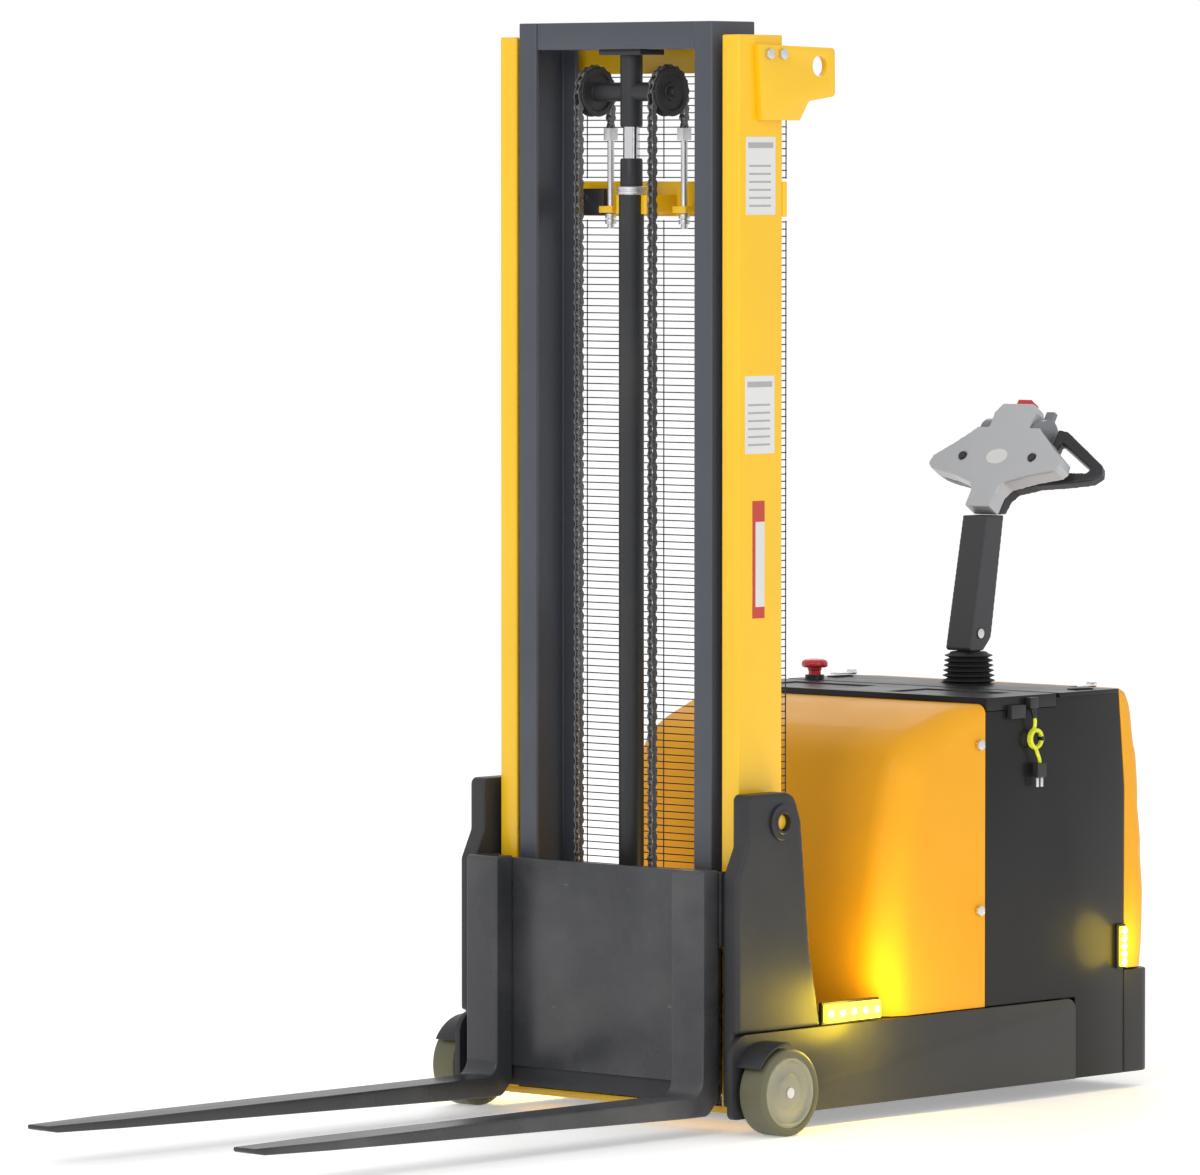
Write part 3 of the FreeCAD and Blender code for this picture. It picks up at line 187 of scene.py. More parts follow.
def build_surface_group():
    """Cloudy tone, fine grain height, thin scratches and smears over a surface; the smears are dust, and on the
    carriage partly a painted sheen.
    """
    tree, given, result = new_group(
        "Surface variation", (("Grain Scale", 900.0), ("Scratch Amount", 0.3)),
        ("Tone", "Grain", "Scratch", "Smear"))
    place = tree.nodes.new("ShaderNodeTexCoord").outputs["Object"]
    tone = noise(tree, place, 6.0, 3.0)
    grain = noise(tree, place, given.outputs["Grain Scale"], 2.0)
    stretch = tree.nodes.new("ShaderNodeMapping")
    stretch.inputs["Scale"].default_value = (3.0, 55.0, 9.0)
    stretch.inputs["Rotation"].default_value = (0.5, 0.35, 0.6)
    tree.links.new(place, stretch.inputs["Vector"])
    streak = noise(tree, stretch.outputs["Vector"], 5.0, 6.0, 0.7)
    broken = noise(tree, place, 14.0, 2.0)
    line = ramp(tree, streak, 0.66, 0.71)
    scratch = math_node(tree, "MULTIPLY", line, ramp(tree, broken, 0.48, 0.62))
    scratch = math_node(tree, "MULTIPLY", scratch, given.outputs["Scratch Amount"])
    smear = ramp(tree, noise(tree, place, 2.6, 5.0, 0.6), 0.42, 0.72)
    for label, source in zip(("Tone", "Grain", "Scratch", "Smear"), (tone, grain, scratch, smear)):
        tree.links.new(source, result.inputs[label])
    return tree


def surface_group():
    return bpy.data.node_groups.get("Surface variation") or build_surface_group()


def mix_colour(tree, factor, first, second, blend="MIX"):
    node = tree.nodes.new("ShaderNodeMix")
    node.data_type = "RGBA"
    node.blend_type = blend
    for socket, source in ((node.inputs[0], factor), (node.inputs[6], first),
                           (node.inputs[7], second)):
        if isinstance(source, (int, float)):
            socket.default_value = source
        elif isinstance(source, (tuple, list)):
            socket.default_value = (*source[:3], 1.0)
        else:
            tree.links.new(source, socket)
    return node.outputs[2]


def shade(base, factor):
    return tuple(min(1.0, channel * factor) for channel in base)


def finish(name, base, rough=0.4, metal=0.0, coat=0.0, grain=900.0, bump=0.05, scratch=0.3,
           scratch_colour=None, smear=0.1, smear_colour=None, tone=0.12, glow=None, gloss=0.5):
    """A surface finish: paint, plastic, rubber or metal with grain, smears and scratches."""
    found = bpy.data.materials.get(name)
    if found:
        return found
    base = tuple(base)
    material = bpy.data.materials.new(name)
    material.use_nodes = True
    tree = material.node_tree
    shader = tree.nodes["Principled BSDF"]
    varied = tree.nodes.new("ShaderNodeGroup")
    varied.node_tree = surface_group()
    varied.inputs["Grain Scale"].default_value = grain
    varied.inputs["Scratch Amount"].default_value = scratch
    toned = mix_colour(tree, varied.outputs["Tone"], shade(base, 1 - tone), shade(base, 1 + tone))
    amount = math_node(tree, "MULTIPLY", varied.outputs["Smear"], smear)
    smeared = mix_colour(tree, amount, toned, smear_colour or shade(base, 0.6))
    worn = mix_colour(tree, varied.outputs["Scratch"], smeared, scratch_colour or shade(base, 1.8))
    tree.links.new(worn, shader.inputs["Base Color"])
    roughness = math_node(tree, "MULTIPLY_ADD", varied.outputs["Smear"], 0.16)
    roughness.node.inputs[2].default_value = rough - 0.06
    tree.links.new(roughness, shader.inputs["Roughness"])
    height = tree.nodes.new("ShaderNodeBump")
    height.inputs["Strength"].default_value = bump
    height.inputs["Distance"].default_value = 0.0006
    tree.links.new(varied.outputs["Grain"], height.inputs["Height"])
    tree.links.new(height.outputs["Normal"], shader.inputs["Normal"])
    shader.inputs["Metallic"].default_value = metal
    shader.inputs["Specular IOR Level"].default_value = gloss
    shader.inputs["Coat Weight"].default_value = coat
    shader.inputs["Coat Roughness"].default_value = 0.12
    if glow:
        shader.inputs["Emission Strength"].default_value = glow
        spot = noise(tree, tree.nodes.new("ShaderNodeTexCoord").outputs["Object"], 60.0, 1.0)
        lit = mix_colour(tree, spot, base, shade(base, 1.15))
        tree.links.new(lit, shader.inputs["Emission Color"])
    return material


def mast_yellow():
    return finish("mast_yellow_paint", colours().mast_yellow, rough=0.34, coat=0.25, grain=420,
                  bump=0.06, scratch=0.12, scratch_colour=(0.35, 0.25, 0.08), smear=0.10,
                  smear_colour=(0.62, 0.33, 0.01), tone=0.04)


def cover_yellow():
    return finish("cover_yellow_moulding", colours().cover_yellow, rough=0.50, coat=0.06,
                  grain=240, bump=0.05, scratch=0.0, smear=0.10, tone=0.03,
                  gloss=0.25)


def mast_grey():
    return finish("mast_grey_paint", colours().mast_grey, rough=0.42, grain=500, bump=0.08,
                  scratch=0.35, scratch_colour=(0.16, 0.16, 0.18), smear=0.25, tone=0.10)


def steel_black():
    return finish("steel_black_paint", colours().steel_black, rough=0.46, grain=380, bump=0.10,
                  scratch=0.5, scratch_colour=(0.13, 0.13, 0.13), smear=0.35,
                  smear_colour=(0.075, 0.074, 0.072), tone=0.15, gloss=0.32)


# Black paint of the carriage plate and forks: a copy of the steel black made 1.25 times lighter, with strong pale
# smears. Together these are partly worn, dusty paint and partly a painted sheen of light across the plate.
def carriage_black_wear_and_painted_sheen():
    return finish("carriage_black_wear_and_painted_sheen_paint", shade(colours().steel_black, 1.25), rough=0.32,
                  grain=300, bump=0.08, scratch=0.9, scratch_colour=(0.18, 0.18, 0.175),
                  smear=0.8, smear_colour=(0.100, 0.100, 0.104), tone=0.3)


def panel_black():
    return finish("panel_black_paint", colours().panel_black, rough=0.36, coat=0.1, grain=600,
                  bump=0.10, scratch=0.15, smear=0.25, smear_colour=(0.03, 0.03, 0.032),
                  gloss=0.22)


def black_plastic():
    return finish("black_plastic", (0.012, 0.012, 0.013), rough=0.42, grain=1400, bump=0.18,
                  scratch=0.08, smear=0.15, smear_colour=(0.03, 0.03, 0.03))


def arm_plastic():
    return finish("arm_grey_plastic", (0.040, 0.041, 0.046), rough=0.5, grain=1500, bump=0.22,
                  scratch=0.08, smear=0.12)


def rubber():
    return finish("black_rubber", (0.016, 0.016, 0.016), rough=0.66, grain=700, bump=0.2,
                  scratch=0.0, smear=0.4, smear_colour=(0.045, 0.043, 0.04))


def bright_steel():
    return finish("zinc_steel", (0.62, 0.62, 0.63), rough=0.32, metal=1.0, grain=800, bump=0.05,
                  scratch=0.3, smear=0.3, smear_colour=(0.40, 0.39, 0.37))


def chrome():
    return finish("hard_chrome", (0.80, 0.80, 0.82), rough=0.14, metal=1.0, grain=1200,
                  bump=0.02, scratch=0.2, smear=0.1)


def chain_steel():
    return finish("oiled_chain_steel", (0.15, 0.15, 0.152), rough=0.30, metal=0.6, grain=600,
                  bump=0.1, scratch=0.2, smear=0.25, smear_colour=(0.03, 0.028, 0.025))


def wire_steel():
    return finish("black_wire", (0.010, 0.010, 0.011), rough=0.5, grain=700, scratch=0.0)


def hub_steel():
    return finish("hub_cast_steel", (0.33, 0.33, 0.25), rough=0.42, metal=0.35, grain=260,
                  bump=0.15, scratch=0.6, scratch_colour=(0.62, 0.61, 0.58), smear=0.55,
                  smear_colour=(0.20, 0.19, 0.16), tone=0.2)


def tread_grey():
    return finish("tread_polyurethane", colours().tread, rough=0.48, grain=300, bump=0.12,
                  scratch=0.25, scratch_colour=(0.16, 0.15, 0.12), smear=0.6,
                  smear_colour=(0.16, 0.155, 0.105), gloss=0.3)


def head_silver():
    return finish("head_silver_paint", colours().head_silver, rough=0.36, metal=0.25, grain=1600,
                  bump=0.10, scratch=0.06, smear=0.15, smear_colour=(0.36, 0.37, 0.39),
                  tone=0.04)


def throttle_grey():
    return finish("throttle_grey_plastic", (0.19, 0.195, 0.21), rough=0.38, grain=1300,
                  bump=0.12, scratch=0.05, smear=0.1)


def button_red():
    return finish("button_red_plastic", colours().button_red, rough=0.26, coat=0.4, grain=900,
                  bump=0.02, scratch=0.03, smear=0.05)


def cord_yellow():
    return finish("cord_yellow_sheath", colours().cord_yellow, rough=0.4, grain=1500, bump=0.1,
                  scratch=0.05, smear=0.2)


def lamp_amber():
    return finish("lamp_amber_lens", colours().lamp_amber, rough=0.15, coat=0.6, grain=300,
                  scratch=0.0, smear=0.0, glow=4.5)


def lamp_hot():
    return finish("lamp_hot_diode", (1.0, 0.86, 0.38), rough=0.2, grain=300, scratch=0.0,
                  smear=0.0, glow=26.0)


def label_white():
    return finish("label_white_film", (0.72, 0.72, 0.71), rough=0.35, grain=500, bump=0.02,
                  scratch=0.05, smear=0.15, smear_colour=(0.55, 0.55, 0.52))


def label_grey():
    return finish("label_grey_print", (0.40, 0.40, 0.41), rough=0.4, grain=500, bump=0.02,
                  scratch=0.0)


def label_red():
    return finish("label_red_print", (0.55, 0.05, 0.03), rough=0.4, grain=500, bump=0.02,
                  scratch=0.0)


# ---------------------------------------------------------------- mesh helpers
def new_object(name, mesh):
    obj = bpy.data.objects.new(name, mesh)
    bpy.context.scene.collection.objects.link(obj)
    return obj


def smooth_by_angle(mesh, degrees=32):
    mesh.polygons.foreach_set("use_smooth", [True] * len(mesh.polygons))
    mesh.set_sharp_from_angle(angle=math.radians(degrees))


def place_on(obj, body, slot_name, *replaced):
    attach(obj, body)
    if replaced:
        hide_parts(*replaced)
    return obj


def bevelled_copy(node, width, segments=2, angle=28):
    """A merged copy of a solid's mesh with its edges rounded."""
    bm = bmesh.new()
    bm.from_mesh(frame["nodes"][node].data)
    bmesh.ops.remove_doubles(bm, verts=bm.verts, dist=1e-6)
    bmesh.ops.dissolve_limit(bm, angle_limit=math.radians(0.4), verts=bm.verts, edges=bm.edges)
    edges = [edge for edge in bm.edges if len(edge.link_faces) == 2
             and edge.calc_face_angle(0.0) > math.radians(angle)]
    bmesh.ops.bevel(bm, geom=edges, offset=width, segments=segments, profile=0.6, affect="EDGES",
                    clamp_overlap=True)
    mesh = bpy.data.meshes.new(node + "_finish")
    bm.to_mesh(mesh)
    bm.free()
    smooth_by_angle(mesh)
    return mesh


def dress(node, material, width=None, segments=2, name=None):
    """Show a solid with rounded edges and its finish."""
    mesh = bevelled_copy(node, sizes().edge if width is None else width, segments)
    obj = new_object(name or node + "_finish", mesh)
    obj.data.materials.append(material)
    return place_on(obj, BODY_OF[node], SLOT_OF[node], node)


def softened(node, material, voxel=0.003, rounds=10, name=None):
    """Show a solid as a casting or moulding: every edge flows into the next."""
    bm = bmesh.new()
    bm.from_mesh(frame["nodes"][node].data)
    bmesh.ops.remove_doubles(bm, verts=bm.verts, dist=1e-6)
    mesh = bpy.data.meshes.new(node + "_soft")
    bm.to_mesh(mesh)
    bm.free()
    obj = new_object(name or node + "_soft", mesh)
    remesh = obj.modifiers.new("Remesh", "REMESH")
    remesh.mode = "VOXEL"
    remesh.voxel_size = voxel
    smooth = obj.modifiers.new("Smooth", "SMOOTH")
    smooth.factor = 0.5
    smooth.iterations = rounds
    bake(obj)
    smooth_by_angle(obj.data, 60)
    obj.data.materials.clear()
    obj.data.materials.append(material)
    return place_on(obj, BODY_OF[node], SLOT_OF[node], node)


def bake(obj):
    """Turn the evaluated object into its own plain mesh."""
    depsgraph = bpy.context.evaluated_depsgraph_get()
    depsgraph.update()
    mesh = bpy.data.meshes.new_from_object(obj.evaluated_get(depsgraph), depsgraph=depsgraph)
    obj.modifiers.clear()
    obj.data = mesh
    return obj


def from_bmesh(name, bm, material, smooth=32):
    bmesh.ops.recalc_face_normals(bm, faces=bm.faces)
    mesh = bpy.data.meshes.new(name)
    bm.to_mesh(mesh)
    bm.free()
    smooth_by_angle(mesh, smooth)
    obj = new_object(name, mesh)
    obj.data.materials.append(material)
    return obj


def add_block(bm, low, high, bevel=0.0, segments=2):
    """A box between two corners with rounded edges."""
    low, high = Vector(low), Vector(high)
    middle = (low + high) / 2
    scale = Matrix.Diagonal((*(high - low), 1.0))
    made = bmesh.ops.create_cube(bm, size=1.0, matrix=Matrix.Translation(middle) @ scale)
    if bevel:
        edges = {edge for vert in made["verts"] for edge in vert.link_edges}
        bmesh.ops.bevel(bm, geom=list(edges), offset=bevel, segments=segments, profile=0.6,
                        affect="EDGES", clamp_overlap=True)


AXES = {"x": Matrix.Rotation(math.radians(90), 4, "Y"),
        "y": Matrix.Rotation(math.radians(-90), 4, "X"),
        "z": Matrix.Identity(4)}


def add_rod(bm, axis, radius, start, end, centre, sides=24):
    """A round bar between start and end along an axis; centre gives the other two places."""
    spot = list(centre)
    spot.insert("xyz".index(axis), (start + end) / 2)
    bmesh.ops.create_cone(bm, cap_ends=True, segments=sides, radius1=radius, radius2=radius,
                          depth=abs(end - start), matrix=Matrix.Translation(spot) @ AXES[axis])


def lathe(bm, profile, axis, centre, steps=64):
    """Turn (radius, place along the axis) points about an axis; closed if the ends meet it."""
    turn = AXES[axis]
    rings = []
    for radius, along in profile:
        ring = []
        for step in range(steps):
            angle = 2 * math.pi * step / steps
            local = Vector((radius * math.cos(angle), radius * math.sin(angle), along))
            ring.append(bm.verts.new(Vector(centre) + (turn @ local)))
        rings.append(ring)
    for lower, upper in zip(rings, rings[1:]):
        for step in range(steps):
            following = (step + 1) % steps
            bm.faces.new((lower[step], lower[following], upper[following], upper[step]))
    bmesh.ops.remove_doubles(bm, verts=bm.verts, dist=1e-7)


# ---------------------------------------------------------------- repeating rows
def build_row_tree():
    """Copies an item along a straight row."""
    tree = bpy.data.node_groups.new("Row of items", "GeometryNodeTree")
    face = tree.interface
    face.new_socket("Geometry", in_out="OUTPUT", socket_type="NodeSocketGeometry")
    for label, kind in (("Item", "NodeSocketObject"), ("Count", "NodeSocketInt"),
                        ("First", "NodeSocketVector"), ("Step", "NodeSocketVector"),
                        ("Finish", "NodeSocketMaterial")):
        face.new_socket(label, in_out="INPUT", socket_type=kind)
    given = tree.nodes.new("NodeGroupInput")
    result = tree.nodes.new("NodeGroupOutput")
    row = tree.nodes.new("GeometryNodeMeshLine")
    row.mode = "OFFSET"
    info = tree.nodes.new("GeometryNodeObjectInfo")
    copies = tree.nodes.new("GeometryNodeInstanceOnPoints")
    real = tree.nodes.new("GeometryNodeRealizeInstances")
    painted = tree.nodes.new("GeometryNodeSetMaterial")
    link = tree.links.new
    link(given.outputs["Count"], row.inputs["Count"])
    link(given.outputs["First"], row.inputs["Start Location"])
    link(given.outputs["Step"], row.inputs["Offset"])
    link(given.outputs["Item"], info.inputs["Object"])
    link(row.outputs["Mesh"], copies.inputs["Points"])
    link(info.outputs["Geometry"], copies.inputs["Instance"])
    link(copies.outputs["Instances"], real.inputs["Geometry"])
    link(real.outputs["Geometry"], painted.inputs["Geometry"])
    link(given.outputs["Finish"], painted.inputs["Material"])
    link(painted.outputs["Geometry"], result.inputs["Geometry"])
    return tree


def build_ring_tree():
    """Copies an item modelled off the X axis, each turned about that axis by its own angle."""
    tree = bpy.data.node_groups.new("Ring of items", "GeometryNodeTree")
    face = tree.interface
    face.new_socket("Geometry", in_out="OUTPUT", socket_type="NodeSocketGeometry")
    for label, kind in (("Item", "NodeSocketObject"), ("Count", "NodeSocketInt"),
                        ("First", "NodeSocketFloat"), ("Step", "NodeSocketFloat"),
                        ("Centre", "NodeSocketVector"), ("Finish", "NodeSocketMaterial")):
        face.new_socket(label, in_out="INPUT", socket_type=kind)
    given = tree.nodes.new("NodeGroupInput")
    result = tree.nodes.new("NodeGroupOutput")
    points = tree.nodes.new("GeometryNodeMeshLine")
    points.inputs["Offset"].default_value = (0.0, 0.0, 0.0)
    info = tree.nodes.new("GeometryNodeObjectInfo")
    number = tree.nodes.new("GeometryNodeInputIndex")
    angle = tree.nodes.new("ShaderNodeMath")
    angle.operation = "MULTIPLY_ADD"
    turn = tree.nodes.new("ShaderNodeCombineXYZ")
    copies = tree.nodes.new("GeometryNodeInstanceOnPoints")
    move = tree.nodes.new("GeometryNodeTransform")
    real = tree.nodes.new("GeometryNodeRealizeInstances")
    painted = tree.nodes.new("GeometryNodeSetMaterial")
    link = tree.links.new
    link(given.outputs["Count"], points.inputs["Count"])
    link(number.outputs["Index"], angle.inputs[0])
    link(given.outputs["Step"], angle.inputs[1])
    link(given.outputs["First"], angle.inputs[2])
    link(angle.outputs["Value"], turn.inputs["X"])
    link(given.outputs["Item"], info.inputs["Object"])
    link(points.outputs["Mesh"], copies.inputs["Points"])
    link(info.outputs["Geometry"], copies.inputs["Instance"])
    link(turn.outputs["Vector"], copies.inputs["Rotation"])
    link(copies.outputs["Instances"], move.inputs["Geometry"])
    link(given.outputs["Centre"], move.inputs["Translation"])
    link(move.outputs["Geometry"], real.inputs["Geometry"])
    link(real.outputs["Geometry"], painted.inputs["Geometry"])
    link(given.outputs["Finish"], painted.inputs["Material"])
    link(painted.outputs["Geometry"], result.inputs["Geometry"])
    return tree


def run_tree(tree_name, builder, name, values):
    tree = bpy.data.node_groups.get(tree_name) or builder()
    obj = new_object(name, bpy.data.meshes.new(name))
    modifier = obj.modifiers.new("Repeat", "NODES")
    modifier.node_group = tree
    for item in tree.interface.items_tree:
        if item.in_out == "INPUT":
            modifier[item.identifier] = values[item.name]
    bake(obj)
    return obj


def row_of(name, item, count, first, step, material):
    """A plain mesh of copies of an item object, which is then thrown away."""
    obj = run_tree("Row of items", build_row_tree, name,
                   {"Item": item, "Count": count, "First": tuple(first), "Step": tuple(step),
                    "Finish": material})
    bpy.data.objects.remove(item)
    obj.data.polygons.foreach_set("use_smooth", [True] * len(obj.data.polygons))
    obj.data.set_sharp_from_angle(angle=math.radians(40))
    return obj


def joined(name, *objects):
    """One object from several; the first one's place is kept."""
    bm = bmesh.new()
    materials = []
    for obj in objects:
        start = len(bm.faces)
        bm.from_mesh(obj.data)
        bm.faces.ensure_lookup_table()
        slots = list(obj.data.materials)
        for material in slots:
            if material not in materials:
                materials.append(material)
        for face in bm.faces[start:]:
            face.material_index = materials.index(slots[face.material_index]) if slots else 0
    mesh = bpy.data.meshes.new(name)
    bm.to_mesh(mesh)
    bm.free()
    for material in materials:
        mesh.materials.append(material)
    mesh.polygons.foreach_set("use_smooth", [True] * len(mesh.polygons))
    mesh.set_sharp_from_angle(angle=math.radians(34))
    for obj in objects:
        bpy.data.objects.remove(obj)
    return new_object(name, mesh)


def ring_of(name, item, count, first, step, centre, material):
    """A plain mesh of copies of an item turned about the X axis, each at its own angle."""
    obj = run_tree("Ring of items", build_ring_tree, name,
                   {"Item": item, "Count": count, "First": first, "Step": step,
                    "Centre": tuple(centre), "Finish": material})
    bpy.data.objects.remove(item)
    obj.data.polygons.foreach_set("use_smooth", [True] * len(obj.data.polygons))
    obj.data.set_sharp_from_angle(angle=math.radians(40))
    return obj


def item_from(build, *values):
    """A throwaway object to be repeated, filled by a mesh function."""
    bm = bmesh.new()
    build(bm, *values)
    bmesh.ops.recalc_face_normals(bm, faces=bm.faces)
    mesh = bpy.data.meshes.new("item")
    bm.to_mesh(mesh)
    bm.free()
    return new_object("item", mesh)


def reach(distance):
    """A place along Y, given from the front of the mast."""
    return MAST_FRONT + distance


def repaint(node, material):
    """Give a solid that keeps its own mesh a finish."""
    mesh = frame["nodes"][node].data
    mesh.materials.clear()
    mesh.materials.append(material)


# ---------------------------------------------------------------- base operator
class StackerOperator:
    """What every build step shares."""

    bl_options = {"REGISTER", "UNDO"}

    def execute(self, context):
        self.build(context)
        return {"FINISHED"}


class STACKER_OT_stage(StackerOperator, bpy.types.Operator):
    """Floor, soft studio light and the camera"""

    bl_idname = "stacker.stage"
    bl_label = "Stage"

    def build(self, context):
        scene = context.scene
        bm = bmesh.new()
        add_block(bm, (-30, -30, -0.02), (30, 30, 0.0))
        floor = from_bmesh("studio_floor", bm, self.floor_material())
        self.light("key", (2.0, -6.5, 4.6), (0.0, 0.0, 0.9), 3.0, 125)
        self.light("fill", (7.5, -1.0, 3.0), (0.0, 0.3, 0.7), 3.4, 45)
        self.light("rim", (-4.5, 5.5, 4.6), (0.0, 0.4, 0.9), 3.2, 35)
        world = bpy.data.worlds.new("studio_air")
        world.use_nodes = True
        world.node_tree.nodes["Background"].inputs[0].default_value = (1.0, 1.0, 1.0, 1.0)
        level = math_node(world.node_tree, "MULTIPLY_ADD", world.node_tree.nodes.new(
            "ShaderNodeLightPath").outputs["Is Camera Ray"], 0.24)
        level.node.inputs[2].default_value = 0.76
        world.node_tree.links.new(level, world.node_tree.nodes["Background"].inputs[1])
        scene.world = world
        scene.view_settings.view_transform = "Standard"
        lens = bpy.data.cameras.new("camera")
        lens.lens = LENS
        lens.sensor_width = 36.0
        lens.clip_end = 200.0
        camera = bpy.data.objects.new("camera", lens)
        scene.collection.objects.link(camera)
        spot, target = ((x, reach(y), z) for x, y, z in (CAMERA_PLACE, CAMERA_TARGET))
        self.aim(camera, spot, target)
        scene.camera = camera

    def floor_material(self):
        return finish("studio_floor_paint", (0.93, 0.93, 0.93), rough=0.6, grain=3.0, bump=0.0,
                      scratch=0.0, smear=0.0, tone=0.004, glow=0.34)

    def aim(self, obj, spot, target):
        obj.location = spot
        direction = Vector(target) - Vector(spot)
        obj.rotation_euler = direction.to_track_quat("-Z", "Y").to_euler()

    def light(self, name, spot, target, size, power):
        data = bpy.data.lights.new(name, "AREA")
        data.size = size
        data.energy = power
        lamp = bpy.data.objects.new(name, data)
        bpy.context.scene.collection.objects.link(lamp)
        self.aim(lamp, spot, target)


class STACKER_OT_fixed_mast(StackerOperator, bpy.types.Operator):
    """Yellow fixed mast: channels, beams, lifting lugs and blank plates"""

    bl_idname = "stacker.fixed_mast"
    bl_label = "Fixed mast"

    def build(self, context):
        for node in ("mast_channel_left", "mast_channel_right"):
            dress(node, mast_yellow(), 0.0035, 3)
        dress("mast_crossbeams", mast_yellow(), 0.0012)
        dress("mast_lugs", mast_yellow(), 0.0018)
        dress("limit_switch", black_plastic(), 0.002)
        self.plates()

    def plates(self):
        """Blank plates on the outer side of each channel, the printed bands left empty."""
        for side, name in zip(SIDES, ("left", "right")):
            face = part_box("mast_lugs")[1][0] - 0.012
            plates = []
            for low, high, near, far in ((1.615, 1.752, 0.028, 0.106),
                                         (1.195, 1.332, 0.026, 0.104)):
                plates.append(self.plate(side, face, near, far, low, high, label_white(), 0.0003))
                plates.append(self.plate(side, face, near + 0.006, far - 0.006, high - 0.020,
                                         high - 0.010, label_grey(), 0.0005))
                for row in range(6):
                    level = low + 0.014 + row * 0.014
                    plates.append(self.plate(side, face, near + 0.008, far - 0.012, level,
                                             level + 0.0035, label_grey(), 0.0005))
            plates.append(self.plate(side, face, 0.046, 0.078, 0.905, 1.112, label_white(), 0.0003))
            plates.append(self.plate(side, face, 0.046, 0.054, 0.905, 1.112, label_red(), 0.0005))
            plates.append(self.plate(side, face, 0.046, 0.078, 1.075, 1.112, label_red(), 0.0006))
            plates.append(self.plate(side, face, 0.046, 0.078, 0.905, 0.925, label_red(), 0.0006))
            sheet = joined(f"mast_plates_{name}", *plates)
            place_on(sheet, "chassis", "silver_plastic")

    def plate(self, side, face, near, far, low, high, material, proud):
        bm = bmesh.new()
        inner, outer = sorted((side * (face - 0.0004), side * (face + proud)))
        add_block(bm, (inner, reach(near), low), (outer, reach(far), high), proud * 0.4, 1)
        return from_bmesh("plate", bm, material)


class STACKER_OT_guard(StackerOperator, bpy.types.Operator):
    """Welded wire guard behind the mast, its sides bent back"""

    bl_idname = "stacker.guard"
    bl_label = "Wire guard"

    def build(self, context):
        pitch, radius = sizes().wire_pitch, sizes().wire_radius
        low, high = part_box("mast_guard")
        half = high[0]
        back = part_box("mast_guard")[1][1] - sizes().guard_return + 0.004
        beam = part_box("limit_switch")[0][2] - 0.001
        panels = ((low[2], beam - 0.006), (beam + 0.066, high[2]))
        level_reach, upright_reach = back - 0.0030, back - 0.0012
        pieces = []
        columns = round(2 * half / sizes().column_pitch)
        gap = 2 * (half - 0.002) / columns
        for bottom, top in panels:
            count = int((top - bottom - 0.006) // pitch) + 1
            rise = (top - bottom - 0.006) / (count - 1)
            wire = item_from(add_rod, "x", radius, -half + 0.001, half - 0.001, (0.0, 0.0), 6)
            pieces.append(row_of("level_wires", wire, count, (0.0, level_reach, bottom + 0.003),
                                 (0.0, 0.0, rise), wire_steel()))
            wire = item_from(add_rod, "z", radius, bottom + 0.001, top - 0.001, (0.0, 0.0), 6)
            pieces.append(row_of("upright_wires", wire, columns + 1,
                                 (-half + 0.002, upright_reach, 0.0), (gap, 0.0, 0.0),
                                 wire_steel()))
            for side in SIDES:
                edge = side * (half - 0.002)
                wire = item_from(add_rod, "y", radius, level_reach, high[1] - 0.001,
                                 (0.0, 0.0), 6)
                pieces.append(row_of("return_wires", wire, count, (edge, 0.0, bottom + 0.003),
                                     (0.0, 0.0, rise), wire_steel()))
                bm = bmesh.new()
                add_rod(bm, "z", radius, bottom + 0.001, top - 0.001, (edge, high[1] - 0.002), 6)
                pieces.append(from_bmesh("return_upright", bm, wire_steel()))
        clips = []
        for bottom, top in panels:
            for side in SIDES:
                for level in (bottom + 0.030, top - 0.040):
                    bm = bmesh.new()
                    middle = side * (half - 0.006)
                    add_block(bm, (middle - 0.006, back - 0.007, level),
                              (middle + 0.006, back - 0.0002, level + 0.010), 0.0015)
                    clips.append(from_bmesh("clip", bm, bright_steel()))
        guard = joined("guard_wires", *pieces, *clips)
        place_on(guard, "chassis", "satin_black", "mast_guard")


